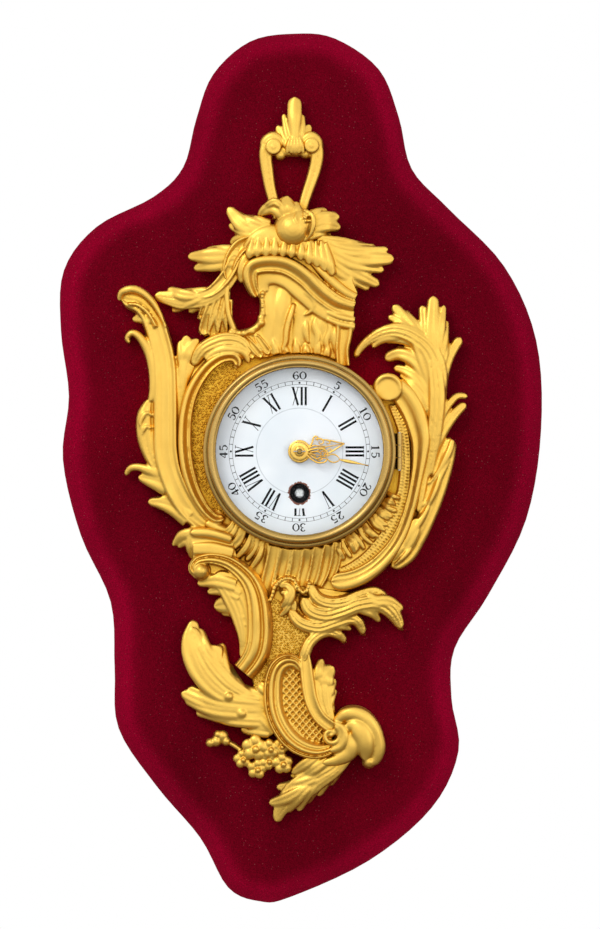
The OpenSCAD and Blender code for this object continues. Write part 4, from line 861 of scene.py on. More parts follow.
strip(bm, [(6, 89), (11, 83.8), (16, 79.4), (21.4, 76), (28, 73.8)], [1.4, 2, 2, 1.8],
      [14.4, 14.8, 14.6, 14], ROLL, 1.6)
for y in (66, 62.6):
    strip(bm, [(14, y + 3.4), (20, y + 1), (27.6, y - 0.6)], [3, 3.6, 3.4], [12.6, 13.2, 13], ROLL, 2,
          foot=FOOT)
strip(bm, [(22.6, 64), (22.2, 58), (21.3, 51), (21.8, 42.5)], [9, 8, 6.8, 7], [13, 12.8, 12.6, 12.4],
      COVE, 3.4, foot=FOOT)
print("arch and pilaster", len(bm.faces), "faces")

# %% [markdown]
# Under the arch lies a rippling field. Sculpting could give it, but a plate with wide, shallow ripples
# melted into it has the same soft waves and needs only a few routes.

# %% Hood field
FIELD_EDGE = [(-19, 84), (-8, 88), (2, 82), (14, 72), (20, 66), (20, 45), (8, 48.6), (-8, 48.6),
              (-20, 46), (-28, 50), (-33, 58), (-25, 60.5), (-20, 65), (-18.6, 72), (-19, 78)]
plate(bm, FIELD_EDGE, 9.6, 9.2)
RIPPLES = [[(-14.6, 84), (-14.6, 74), (-14, 64), (-15.6, 55), (-18, 48.5)],
           [(-6, 84), (-8.6, 74), (-10, 64), (-10.6, 56), (-12, 49)],
           [(2, 80), (2, 72), (1, 62), (-1, 52)],
           [(10, 72), (9.6, 62), (7.6, 50)]]
for i, route in enumerate(RIPPLES):
    strip(bm, route, [8, 10, 9.6, 8.6], [10, 10.9 + 0.3 * (i % 2), 10.7, 10.2], BLADE, 1.4, ends="ab")
ROCK_LINES = [[(9.4, 70), (7.6, 63), (9, 57), (7.4, 50)],
              [(14, 69), (15.4, 61), (13.4, 55), (14.4, 49.4)],
              [(3.8, 67), (3, 60), (4.4, 54)],
              [(18.4, 64), (17.6, 57), (18.2, 49)]]
for route in ROCK_LINES:
    strip(bm, route, [2.4, 4, 4.2, 2.6], [10.6, 11.6, 11.4, 10.8], BLADE, 1.6, ends="ab")
TONGUES = [[(-13.6, 58), (-11.4, 48.4)],
           [(-8.8, 54.6), (-6.6, 48.8)],
           [(-2, 57.4), (-1.4, 48.8)],
           [(3, 54), (3.6, 48.8)],
           [(10, 57), (8.6, 48.4)],
           [(14.8, 54), (13.2, 47.4)]]
for route in TONGUES:
    strip(bm, route, [2, 3.6, 4.4], [10.2, 11.2, 11], BLADE, 1.2, ends="a")
strip(bm, [(-2.8, 73.6), (-4.8, 67), (-6.4, 60.8), (-7, 54.6), (-8.4, 50)], [2.4, 3.2, 3.2, 3, 2.2],
      [12, 12.6, 12.4, 12, 11.4], ROLL, 2, ends="ab")
strip(bm, [(-0.6, 81), (4.6, 77.8), (7.4, 74.2), (6.2, 70.4), (2.6, 68)], [2, 2.8, 3, 2.6, 1.6],
      [12, 12.8, 12.8, 12.4, 11.6], ROLL, 2, ends="ab")
print("with the field", len(bm.faces), "faces")

# %% [markdown]
# At the left the hood is pierced, and rock-work edges the hole: a roll with small bosses scattered on
# it by a seeded shuffle. Short flutes lie below it, and outside it plain mouldings run up to the crest.
# No hole has to be cut, because the plates and strips leave it open.

# %% Pierced hole of the hood
HOLE_ROPE = [(-19, 78.6), (-18.2, 72), (-18.8, 66.8), (-20.8, 62.6), (-24.8, 60), (-29.8, 58.8),
             (-34, 59.4)]
strip(bm, HOLE_ROPE, [3, 3.4, 3.6, 3.8, 4], [11, 11.6, 11.6, 11.4, 11], ROLL, 2.6, foot=FOOT)
shuffle = random.Random(19)
for p in walk(HOLE_ROPE, 15)[0]:
    boss(bm, p.x + shuffle.uniform(-0.5, 1.1), p.y + shuffle.uniform(-0.6, 0.6), shuffle.uniform(0.9, 2),
         12.2 + shuffle.uniform(-0.6, 0.4), 8)
for route in ([(-32, 57), (-27, 52), (-23, 46.6)],
              [(-27.4, 57), (-22.6, 51.6), (-18.8, 47)],
              [(-22, 58), (-18, 52.6), (-15, 48.6)]):
    strip(bm, route, [3, 3.8, 3.4], [10.8, 11.6, 11], FLUTE, 2, foot=FOOT, ends="ab")
strip(bm, [(-34.6, 85), (-35.4, 91), (-33.2, 97.4), (-29.2, 102.4), (-23, 105.6)], [5, 6.6, 7.6, 7.8, 6],
      [12.6, 13.6, 14, 14, 13], COVE, 3.6, foot=FOOT, ends="a")
strip(bm, [(-29, 84), (-29.4, 90), (-27.4, 96), (-23.6, 99.6)], [3.4, 4.4, 4.4, 3], [12, 13.4, 13.6, 13],
      ROLL, 2.6, foot=FOOT, ends="a")
strip(bm, [(-34.6, 88), (-36, 82), (-36.2, 75.6), (-35.2, 68), (-32.6, 60.6)], [3.4, 3.4, 3.2, 3.2, 3.4],
      [11.6, 12, 12, 12, 11.6], ROLL, 2.4, foot=FOOT)
casting("hood_gilt", bm, ["hood"], voxel=0.45, rounds=2)

# %% [markdown]
# Acanthus leaves sprout from the crest. Each is a spray of lobes that start side by side, overlap like
# the fingers of a hand and end in rounded tips, every lobe softly veined along its middle. A row gives
# a lobe's route and its widths. A fluted fan hangs down at the left.

# %% Crest leaves
bm = bmesh.new()
CREST_LOBES = [([(-14.8, 112.8), (-21.8, 114.8), (-27.8, 117.3)], [6, 6.4, 3]),
               ([(-15.8, 110.8), (-24.8, 113.8), (-31.8, 119.3)], [7, 7.4, 3.4]),
               ([(-16.8, 108.8), (-27.3, 112.3), (-35.8, 121.8)], [8, 9, 5]),
               ([(-16.8, 106.8), (-25.8, 109.3), (-35.3, 113.3)], [7, 8, 4]),
               ([(-17.8, 104.8), (-25.8, 106.8), (-32.3, 109.8)], [6, 6, 3.6]),
               ([(-18.8, 102.8), (-26.8, 104.8), (-34.8, 104.3)], [6, 8, 6]),
               ([(-29.8, 99.8), (-38.8, 99.8), (-47.3, 100.3)], [6, 7, 4]),
               ([(-30.8, 97.8), (-42.3, 97.3), (-55.8, 97.3)], [7, 9, 4.4]),
               ([(-31.8, 94.8), (-42.3, 93.3), (-52.8, 91.3)], [7, 8, 4]),
               ([(9, 106.5), (21.5, 104), (33.8, 102.8)], [4, 6, 3]),
               ([(9, 105.5), (24, 102), (38, 102.2)], [5, 6.6, 3.2]),
               ([(9.5, 104.5), (26, 99.6), (44.2, 100.8)], [5, 7, 3.6]),
               ([(10, 103.5), (27, 96.6), (47.2, 96)], [6, 9, 6]),
               ([(10, 102.5), (25.5, 94), (42.2, 90.4)], [6, 8, 4]),
               ([(10, 101), (23, 91.6), (39.8, 83)], [6, 8.4, 5]),
               ([(10.5, 99.5), (20.5, 89.5), (34.8, 81)], [6, 7, 3.8]),
               ([(11, 97.5), (18.5, 87.5), (28.8, 79.8)], [6, 6, 3.4])]
for i, (route, widths) in enumerate(CREST_LOBES):
    lift = 0.35 * (i % 2)
    strip(bm, route, widths, [12.6, 12.4 + lift, 11 + lift, 7.4], LOBE, 1.5, wall=LOBE_WALL, ends="b")
leaf(bm, [(-31, 92), (-38, 83), (-46, 77.6), (-56, 76), (-65, 76.6), (-72.4, 77.8)],
     [(-65.6, 81.6), (-58.8, 80.2), (-63.6, 70), (-55.2, 69.4), (-48, 70.6)], 5, 12, 6.4)
strip(bm, [(-31.5, 98), (-34.4, 91), (-38.4, 85), (-44.4, 79.6), (-52, 77.4)], [6, 6.6, 6.4, 5.4, 3],
      [13, 13.4, 13, 12.4, 11], COVE, 2.4, ends="ab")
FAN = [([(-42.3, 78.3), (-46.8, 70.8), (-49.3, 65.8)], [5, 6, 4]),
       ([(-40.3, 79.8), (-44.8, 68.3), (-48.3, 58.3)], [5, 7, 6]),
       ([(-38.3, 79.8), (-41.8, 66.8), (-43.3, 56.8)], [5, 7, 6]),
       ([(-36.8, 79.8), (-38.8, 66.8), (-38.3, 57.3)], [5, 7, 6]),
       ([(-35.3, 75.8), (-35.8, 66.8), (-34.3, 59.8)], [4, 5, 5])]
lay_rows(bm, FAN, [11.4, 11, 9], FLUTE, 2.2, foot=FOOT, ends="b")
print("crest leaves", len(bm.faces), "faces")

# %% [markdown]
# Between the leaves a smooth dome carries a fringe of drop petals over the arch. The petals are short
# rolls that swell towards their rounded ends, laid over a plate that closes the gaps between them.

# %% Crest dome and petals
DOME = [(-26.8, 94.8), (-24.8, 100.8), (-20.8, 105.3), (-14.8, 107.3), (-7.3, 105.8), (0.3, 103.8),
        (6.3, 100.8), (10.3, 94.8)]
strip(bm, DOME, [6, 9, 11, 12, 12, 11, 9, 6], [12.4, 13.4, 14.2, 14.4, 14.4, 14.2, 13.8, 13], ROLL, 3,
      foot=FOOT, ends="ab")
BEHIND_PETALS = [(-30, 100), (-24, 104), (-10, 108), (6, 106), (16, 100), (24, 90), (29, 79), (20, 76),
                 (8, 86), (-4, 93), (-16, 95), (-25, 92)]
plate(bm, BEHIND_PETALS, 11.6, 6)
PETALS = [((-23.4, 106), (-25.2, 95.8), 4.6), ((-20.2, 107), (-21.2, 96.6), 5),
          ((-16, 108), (-16.8, 96.6), 4.6), ((-12, 108), (-12.6, 96.8), 4.8),
          ((-7, 107), (-8.6, 96.6), 4.4), ((-3, 106), (-4.2, 96.2), 4.6), ((1.2, 105.4), (0.6, 95), 4.6),
          ((5, 105), (4.8, 93), 4.4), ((8, 105), (8.8, 91.6), 4.4), ((10.6, 105), (12.6, 89.6), 4.8),
          ((13, 104), (16.4, 87.4), 4.6)]
for (x, y), (low_x, low_y), width in PETALS:
    strip(bm, [(x, y), ((x + low_x) / 2, (y + low_y) / 2), (low_x, low_y)],
          [width * 0.4, width * 0.8, width * 1.05, width], [14.2, 15.2, 16, 15.2], ROLL, 2.4, ends="b")
casting("crest_leaves_gilt", bm, ["crest_leaves"], voxel=0.45, rounds=2)

# %% [markdown]
# A split pomegranate crowns the hood. The fruit is a ball drawn out a little, with its rind parted over a
# cluster of seeds, and leaves curl round it. Seeds are small balls set in a spiral, as they grow.

# %% Pomegranate
bm = bmesh.new()
boss(bm, -3.4, 111, 9.6, 18.8, 2)
boss(bm, -0.6, 113.2, 8.6, 18, 2)
SEEDS, SEED_TURN = 14, 2.4
for k in range(SEEDS):
    turn, reach = k * SEED_TURN, 0.95 * math.sqrt(k)
    boss(bm, 3 + reach * math.cos(turn), 116 + reach * math.sin(turn) * 1.1, 1.1, 18.8 - 0.2 * k, 12)
RIND = [([(-0.6, 119.6), (-2, 116), (-0.4, 112.4), (3.4, 110.4)], [1, 2, 2.2, 1.2]),
        ([(2, 120.4), (6, 118), (7, 113.4), (5.6, 108), (2.4, 104.6)], [1.2, 2.4, 2.6, 2.2, 1])]
lay_rows(bm, RIND, [15.4, 18, 18.6, 17.6, 15], ROLL, 1.4, ends="ab")
CURLED = [([(-5, 116), (-10, 120.6), (-14.4, 121.4), (-18, 119.4), (-20.4, 116.4)], [7, 9, 8, 6, 3.4],
           [14.6, 15.2, 14.6, 12.6, 10]),
          ([(-8, 120.4), (-12, 124.2), (-16, 122.4), (-18.4, 119.6)], [3, 4.4, 4, 2.4],
           [15.4, 16, 14.6, 11]),
          ([(-6.4, 117), (-6.8, 122), (-6, 127.4)], [7, 9, 7], [15.4, 15.6, 12.4]),
          ([(-3, 117), (-2, 121.4), (-1.6, 124.6)], [6, 7, 5], [15, 15, 12])]
for route, widths, heights in CURLED:
    strip(bm, route, widths, heights, LOBE, 1.8, wall=LOBE_WALL, ends="b")
RIGHT_FINGERS = [([(3, 115), (6, 118.6), (6.4, 121)], [5, 5, 3]),
                 ([(3, 114), (9, 118.4), (13.8, 120.6)], [6, 6.6, 4]),
                 ([(4, 112), (12, 116), (20, 117)], [7, 8, 5]),
                 ([(4, 110), (12, 112.6), (20.6, 111.6)], [7, 7.6, 5]),
                 ([(4, 107), (10, 109), (15.8, 107)], [6, 6, 4])]
lay_rows(bm, RIGHT_FINGERS, [14, 14, 12.6, 9], LOBE, 1.6, wall=LOBE_WALL, ends="b")
casting("pomegranate_gilt", bm, ["pomegranate"], voxel=0.4, rounds=2)

# %% [markdown]
# The loop above is a stirrup of two flat bars that roll inwards at the top, joined by a collar. The
# bars are swept flats with a shallow line, and each roll is an arc round a flat end disc.

# %% Hanging loop
BAR = [(-0.5, -1), (-0.46, -0.5), (-0.38, -0.12), (-0.24, 0), (-0.1, -0.04), (-0.02, -0.16), (0.04, -0.3),
       (0.1, -0.2), (0.2, -0.06), (0.34, -0.1), (0.44, -0.4), (0.5, -1)]
LOOP_FOOT = 1.2
bm = bmesh.new()
LEFT_BAR = [(-11, 116), (-13.2, 125.8), (-14.8, 132.2), (-16, 139.8), (-16.8, 145.8), (-17, 151),
            (-15.8, 155.2)]
LEFT_ROLL = [(-17.4, 149), (-17.2, 154.6), (-13.4, 157.4), (-9.8, 155.8), (-8.8, 152)]
RIGHT_BAR = [(0.6, 116), (2.2, 123.8), (4.4, 130.8), (6.8, 137.8), (8.4, 144.2), (9, 150.8), (7.8, 155)]
RIGHT_ROLL = [(9.4, 149), (9.2, 154.6), (5.6, 157.6), (2.2, 155.6), (1.4, 151.6)]
for bar, roll, (x, y, r), drop in ((LEFT_BAR, LEFT_ROLL, (-13, 152, 4.4), (-9.6, 148, 2.8)),
                                   (RIGHT_BAR, RIGHT_ROLL, (6, 152.6, 4.2), (3, 148.6, 2.6))):
    strip(bm, bar, [5, 5.2, 5.6, 6, 6.4, 6.4, 5], [8, 7.6, 7.4, 7.4, 7.6, 8, 8], BAR, 2, foot=LOOP_FOOT)
    strip(bm, roll, [4, 4.8, 5, 4.6, 3.6], [7.4, 8, 8.4, 8.4, 8], ROLL, 2.6, foot=LOOP_FOOT, ends="ab")
    boss(bm, x, y, r, 9.6, 2)
    plate(bm, round_outline(x, y, 0.86 * r), 9.3, 6)
    boss(bm, *drop, 7.6, 1.6)
strip(bm, [(-10.5, 150.8), (-6, 150), (0, 150), (4, 150.8)], [4.4, 5.4, 5.4, 4.4], [7, 8, 8, 7], ROLL,
      2.4, foot=LOOP_FOOT)
casting("hanging_loop_gilt", bm, ["hanging_loop"])

# %% [markdown]
# The collar carries a small upright leaf over a ribbed foot. It is made of the same lobes as the crest,
# with short rolls side by side for the foot.

# %% Finial
bm = bmesh.new()
FINIAL_X = -2.2
FINIAL = [([(-3.6, 151), (-6, 161), (-8, 168.6)], [5, 5.6, 3]),
          ([(-5, 151), (-8.4, 157.6), (-11.2, 162.8)], [5, 6, 4]),
          ([(-0.8, 151), (1, 161), (1.3, 168.4)], [5, 5, 3]),
          ([(0.8, 151), (3.4, 157.6), (5, 163.4)], [5, 5.4, 3.6])]
lay_rows(bm, FINIAL, [8.4, 8.4, 7, 5.4], LOBE, 1.6, ends="b")
strip(bm, [(-2.2, 150), (-2.4, 160), (-2.5, 170), (-2.3, 177.2)], [6.6, 5.8, 7.6, 7.2], [9, 9, 8.4, 6],
      BLADE, 1.8, ends="b")
boss(bm, FINIAL_X, 151.8, 4.8, 9.8, 2)
for k in range(-2, 3):
    rib = [(FINIAL_X + 1.1 * k, 157), (FINIAL_X + 1.8 * k, 152.4), (FINIAL_X + 2.0 * k, 148.6)]
    strip(bm, rib, [1.2, 2, 2], [9, 9.9, 9.2], ROLL, 1.2, ends="b")
casting("loop_finial_gilt", bm, ["loop_finial"], voxel=0.4)

# %% [markdown]
# To the left a tall horn of leaf climbs beside the scroll and folds over at its head. It is one broad
# soft band with a bead along its right edge; a small volute, curling leaves and a palmette grow out of it
# without a gap. Each is a strip of its own that dips into the band, and the melting joins them.

# %% Left branch
HORN_SECTION = [(-0.5, -1), (-0.47, -0.5), (-0.41, -0.16), (-0.33, -0.06), (-0.24, -0.16), (-0.12, -0.26),
                (0.02, -0.24), (0.14, -0.18), (0.23, -0.26), (0.29, -0.22), (0.35, -0.04), (0.41, 0),
                (0.46, -0.2), (0.5, -0.8)]
HORN = [(-88.6, 76.6), (-84.2, 75.6), (-79.2, 73.6), (-74.8, 68.8), (-71.8, 61.8), (-69.8, 54.8),
        (-68.2, 47.8), (-67.2, 39.8), (-67, 30.8), (-67, 20.8), (-67, 10.8), (-66.8, 0.8), (-65.2, -8.2),
        (-61.8, -17.8), (-57.2, -26.2), (-52.2, -32.8), (-46.8, -37.2)]
bm = bmesh.new()
strip(bm, HORN[::-1],
      [8, 10.5, 12, 12.5, 12.5, 13, 13, 13, 13, 12.6, 12.4, 12.2, 12, 11.6, 11.2, 10.6, 9.4],
      [10, 10.6, 11, 11, 11, 11, 11, 10.5, 10, 9.5, 8.5], HORN_SECTION, 5, foot=FOOT, ends="b")
strip(bm, [(-90, 75), (-88.6, 79.4), (-83.5, 81), (-78.5, 79.4), (-73.8, 75.2), (-69.8, 69), (-66.8, 62)],
      [2.6, 4, 4.2, 3.8, 3.2, 2.4, 1.4], [8.6, 10.6, 11.2, 11.2, 11, 10.8, 10.4], ROLL, 2.4, ends="ab")
strip(bm, [(-85.5, 73.5), (-80.5, 73), (-75.5, 69), (-71.5, 62)], [1.2, 2, 1.8, 0.8],
      [9.8, 10.8, 11.2, 10.6], ROLL, 1.4)
strip(bm, [(-74.5, 66), (-79, 66.4), (-83.6, 66)], [7, 5.4, 3.6], [9.6, 8, 6], LOBE, 1.8, ends="b")
strip(bm, [(-84.6, 54), (-86, 56.6), (-83.6, 59.2), (-80, 57.4), (-76.6, 52.4), (-74.2, 46.4),
           (-73, 39.4), (-73, 31.4), (-74.2, 25)], [2.4, 3.4, 4.2, 4.8, 5, 5, 4.6, 4.2, 3.4],
      [8.5, 9.5, 10, 10, 10, 10, 10, 9.6], ROLL, 2.4, foot=FOOT, ends="ab")
strip(bm, [(-74.8, 26), (-77.2, 18.2), (-77.3, 10.8), (-76.2, 3.2), (-74, -4.4), (-71.6, -9.6)],
      [4, 7.6, 8.6, 8, 6, 3], [9, 9.6, 9.6, 9.4, 9.2, 9], LOBE, 2.6, foot=FOOT, ends="ab")
strip(bm, [(-73.5, 18), (-76.5, 19.2), (-79.4, 14.5), (-78.6, 10)], [1.4, 2.2, 2.2, 1],
      [9.8, 10.4, 10.2, 9.6], ROLL, 1.4)
strip(bm, [(-74, 11.5), (-76.6, 12.4), (-78.4, 8.6)], [1.2, 2, 1], [9.8, 10.4, 9.8], ROLL, 1.4)
strip(bm, [(-70, -11), (-76, -9), (-80.6, -7.8), (-84.4, -8.4), (-87, -12)], [7, 5.6, 4.4, 3.8, 2.8],
      [9.4, 9, 8, 7, 5.4], ROLL, 2, ends="b")
strip(bm, [(-66, -17), (-72, -14.6), (-80.6, -12.6)], [11, 9, 4.6], [9.6, 8.8, 6.4], LOBE, 2, ends="b")
strip(bm, [(-55, -33), (-62, -28.4), (-68.6, -25.8), (-75.8, -25)], [11, 9.4, 7.4, 4.4],
      [9.8, 9.2, 8, 5.6], LOBE, 2.2, ends="b")
strip(bm, [(-60, -20), (-64.5, -23), (-70, -23.4)], [5, 4, 2.4], [9.8, 8.8, 7.4], ROLL, 1.8, ends="b")
leaf(bm, [(-60, 14), (-58.6, 36), (-56.2, 58)], [(-59.6, 55.4), (-53, 55.4), (-50.2, 56)], 5, 9.6, 8.6, 1.6)
strip(bm, [(-62, -4), (-61, 14), (-60, 30), (-55, 44)], [4, 5, 6, 7], [9, 9.4, 9.4, 9], FLAT, 1.4,
      foot=FOOT)
plate(bm, [(-54.5, -40.5), (-44, -40), (-33.5, -43.5), (-31, -53), (-40, -51.5), (-53, -53.5)], 10.6, 10.2)
strip(bm, [(-54.5, -40.4), (-44, -40.8), (-33.8, -43.6)], [5, 5.6, 5.6], [12.2, 12.6, 12.6], ROLL, 2.6,
      foot=FOOT, ends="a")
strip(bm, [(-53, -48.6), (-43.5, -48.6), (-33, -50.6)], [6, 6.6, 6], [11.6, 12, 12], FLAT, 2, foot=FOOT)
strip(bm, [(-52, -40.6), (-58.4, -42), (-63.4, -47.2)], [6.5, 6, 2.8], [11, 9.2, 6], ROLL, 2.2, ends="b")
strip(bm, [(-52, -45.4), (-57, -45.6), (-60.6, -48)], [5.6, 4.4, 2.4], [10.6, 9, 6.4], ROLL, 1.8, ends="b")
strip(bm, [(-53.6, -43), (-54, -49), (-53.2, -53.8)], [6, 5.6, 2.8], [10.4, 9.6, 7], LOBE, 1.8, ends="b")
casting("left_branch_gilt", bm, ["left_branch"])

# %% [markdown]
# The right branch is freer: leaves blown upwards and inwards over the scroll's disc, one of them a long
# ribbed wave. The lobes lie at different heights, so that they overlap in layers; one flat leaf with a
# cut edge would have no depth.

# %% Right branch
bm = bmesh.new()
RIGHT_LOBES = [
    ([(66, 28), (66.4, 48), (66, 60), (66.8, 77.6)], [7, 8.5, 8.2, 6], 12),
    ([(66, 44), (63, 58), (61.2, 73)], [5, 6, 4.4], 11),
    ([(68, 46), (70.4, 60), (72, 73)], [5, 5, 3.2], 11.2),
    ([(69, 42), (72, 54), (73.4, 65.4)], [5, 4.6, 3], 10.8),
    ([(69.6, 36), (72.4, 48), (73.4, 60)], [4.6, 4.2, 2.8], 10.4),
    ([(68, 26), (64, 48), (56, 62), (46.6, 73)], [7, 8, 7, 5.4], 11.4),
    ([(65, 34), (58, 55), (50.5, 64), (44.2, 67.4)], [6, 6.4, 5.4, 4], 11.8),
    ([(66, 44), (60, 60), (52.2, 70.2)], [5, 5.4, 3.6], 10.8),
    ([(66, 30), (59, 44), (50, 48.6), (42.6, 46)], [7, 8.4, 7.4, 5.6], 11.2),
    ([(64, 36), (57, 48), (48.6, 52)], [5, 5.4, 3], 11),
    ([(65, 18), (60, 34), (53.5, 40), (47, 41.8)], [6, 8, 6.4, 4.4], 11.4),
    ([(63, 20), (60, 28), (54, 35.4), (50, 38)], [5, 6, 5, 3], 12)]
for route, widths, high in RIGHT_LOBES:
    strip(bm, route, widths, [high - 0.4, high, high - 0.6, high - 4], LOBE, 2, ends="b")
strip(bm, [(67, 22), (68.6, 38), (65.2, 49.8), (57.8, 56.8), (49.2, 60.2), (41.2, 59.2), (34.2, 55.2),
           (29.8, 50.8), (28, 47.2)], [9, 10.5, 10.5, 10, 9.2, 8.2, 6.6, 4.8, 3.6],
      [10.6, 11.6, 12.2, 12.4, 12, 11.4, 10.2, 8.4, 7], RIBBED, 2.6, ends="b")
strip(bm, [(50, 57), (42, 56), (36.2, 51.8)], [4.6, 4.6, 2.4], [10.4, 9.8, 8], ROLL, 2, ends="b")
strip(bm, [(56, 53.6), (50, 55.4), (43.2, 54.6)], [4, 4, 2.2], [10.4, 10, 8.6], ROLL, 2, ends="b")
plate(bm, [(62, 8), (69.6, 12), (71, 34), (67.6, 52), (59, 56), (52, 46), (56, 36)], 8.6, 3)
print("right leaves", len(bm.faces), "faces")

# %% [markdown]
# Below the leaves, shoots and a broad rippled leaf follow the outside of the scroll as one mass. The
# leaf's folds are thin rolls melted into it, as a chaser would raise them.

# %% Right shoots
RIGHT_SHOOTS = [([(68, 4), (70.6, 23), (71.8, 35.8), (73.8, 44.8), (76.8, 51.2), (80.6, 56.8)],
                 [5, 5, 5, 5.2, 5.6, 5.4]),
                ([(66, -2), (69, 11), (71.8, 18.8), (74.8, 23.8), (78.8, 27.6), (84, 27.4)],
                 [7, 7, 5.4, 4.2, 4, 3.4]),
                ([(64, -12), (66, -2), (69.2, 5.8), (73.2, 12.8), (77.8, 19.2), (83, 24)],
                 [6, 7, 6.6, 6, 5.8, 5]),
                ([(59, -30), (60.4, -24), (62.4, -12), (65.4, -1), (67.4, 10), (67, 22)],
                 [3.6, 4.6, 5, 5.2, 6, 8])]
lay_rows(bm, RIGHT_SHOOTS, [10.4, 10.8, 10.4, 9.6, 7], LOBE, 2.4, ends="ab")
strip(bm, [(75.2, 6.4), (73.4, -1.8), (70.8, -11.8), (67.2, -22.8), (63.2, -32.8), (58.2, -42.8),
           (52.8, -51.6), (46, -57.6)], [7.6, 9, 9.4, 9.6, 9.6, 10, 10, 7],
      [9.4, 10.2, 10.4, 10.4, 10.4, 10, 9.6], RIBBED, 2.6, foot=FOOT, ends="ab")
strip(bm, [(76.4, 6), (74.6, 0), (70, -9), (64.5, -16)], [3, 3.6, 2.8, 1], [10.4, 11.4, 11, 10.2], ROLL,
      1.6, ends="ab")
strip(bm, [(74.8, -4), (70, -13), (66, -22), (60.5, -28)], [2, 3, 2.6, 1], [10.6, 11.2, 11, 10.2], ROLL,
      1.6, ends="ab")
strip(bm, [(58.2, -33.4), (56.8, -40.2), (53.6, -46.8), (48, -53)], [6.4, 7.2, 7, 5],
      [11.4, 12, 11.4, 10], LOBE, 2.4, foot=FOOT, ends="ab")
strip(bm, [(51.2, -42.6), (50.2, -48.2), (46, -54)], [4, 5, 4], [11.2, 11.6, 10], LOBE, 2, foot=FOOT,
      ends="ab")
LOWER_FOLDS = [[(66.6, -22), (62, -32), (56, -42), (50, -50)],
               [(63, -28), (58.4, -37), (52, -47)],
               [(71.6, -8), (67.4, -20), (62.4, -31)],
               [(57, -46), (52, -52.4), (47.4, -56.6)]]
for route in LOWER_FOLDS:
    strip(bm, route, [1.4, 2.6, 2.4, 1.2], [10.6, 11.8, 11.8, 10.4], ROLL, 1.6, ends="ab")
plate(bm, [(60, 14), (68, 16), (72, 0), (68, -20), (60, -38), (52, -50), (48, -50), (53, -38), (57, -22),
           (61, -4)], 8, 4)
strip(bm, [(62, -14), (66, 2), (68, 18), (68.4, 32), (66.4, 46)], [5, 7, 8, 8.4, 7],
      [10.6, 11.6, 12.6, 13, 12.4], RIBBED, 2.2, ends="ab")
casting("right_branch_gilt", bm, ["right_branch"])

# %% [markdown]
# Below the dial the case narrows to a console: a band that starts in a plump volute at the left and
# sweeps down, a broad leaf with scalloped tips beside it, and a finely punched ground. The ground's
# grain is real little mounds, laid as on the left panel.

# %% Console
CONSOLE_SECTION = [(-0.5, -1), (-0.45, -0.62), (-0.38, -0.36), (-0.31, -0.12), (-0.25, -0.06),
                   (-0.18, -0.1), (-0.13, -0.4), (-0.07, -0.42), (0, -0.16), (0.1, -0.04), (0.2, 0),
                   (0.27, -0.1), (0.31, -0.34), (0.36, -0.3), (0.43, -0.2), (0.47, -0.4), (0.5, -0.9)]
bm = bmesh.new()
CONSOLE = [(-50.6, -62), (-53.4, -58.4), (-51.6, -54.9), (-47.2, -53.2), (-41.2, -53.2), (-35.2, -55),
           (-29.8, -58.6), (-25.2, -63.4), (-22.2, -69.2), (-20.5, -76.2), (-19.8, -84.2), (-19.8, -92.2),
           (-21, -99.2), (-23.8, -104.8), (-28, -110)]
strip(bm, CONSOLE, [3.4, 4.4, 5.6, 6.8, 7.6, 8.6, 9.6, 10.6, 11.6, 12.2, 12.6, 12.6, 12.6, 12, 11.4],
      [12, 12.4, 12.8, 13.2, 13.6, 14, 14.2, 14.4, 14.4, 14.2, 14, 13.6, 13.2], CONSOLE_SECTION, 4.6,
      foot=FOOT, ends="a")
boss(bm, -49.2, -59.6, 4.9, 14, 0.4)
plate(bm, [(-48, -56), (-34, -56), (-26, -64), (-24, -76), (-34, -74), (-44, -66)], 7.6, 7.2)
strip(bm, [(-43, -62), (-35, -67), (-29.4, -76), (-27, -86), (-26.6, -95), (-28.4, -103)],
      [8, 13, 14.6, 12, 8, 4], [10.4, 11.2, 11.6, 11.8, 11.6, 10.6], VEINED, 1.8, foot=FOOT, ends="ab")
CONSOLE_LOBES = [([(-32, -67), (-42, -64.6), (-51, -66)], [8, 8, 4]),
                 ([(-30, -72), (-38, -69), (-46, -70.2)], [8, 7, 3.6]),
                 ([(-27, -82), (-34, -76.6), (-42.8, -77.4)], [10, 10, 7.4]),
                 ([(-26, -86), (-31, -80.6), (-38.8, -80.8)], [7, 6, 3.4])]
lay_rows(bm, CONSOLE_LOBES, [11.8, 11.2, 10, 7.6], LOBE, 1.8, wall=LOBE_WALL, ends="b")
PEBBLED = [(-15, -72), (-4, -78), (8, -84), (12, -92), (4, -99), (1, -104), (-6, -102), (-12, -106),
           (-16, -116), (-22, -120), (-24, -108), (-17, -98), (-16, -84)]
PEBBLE_TOP = 8.4
plate(bm, PEBBLED, PEBBLE_TOP, 8)
casting("lower_console_gilt", bm, ["lower_console"], voxel=0.4, rounds=1)
punched("console_stipple", PEBBLED, PEBBLE_TOP, 1.3, 7)

# %% [markdown]
# Ribbons of leaf stream from the console to the right. They are ribbed strips with short lobes near
# their ends, over a plate that closes the gaps between them.

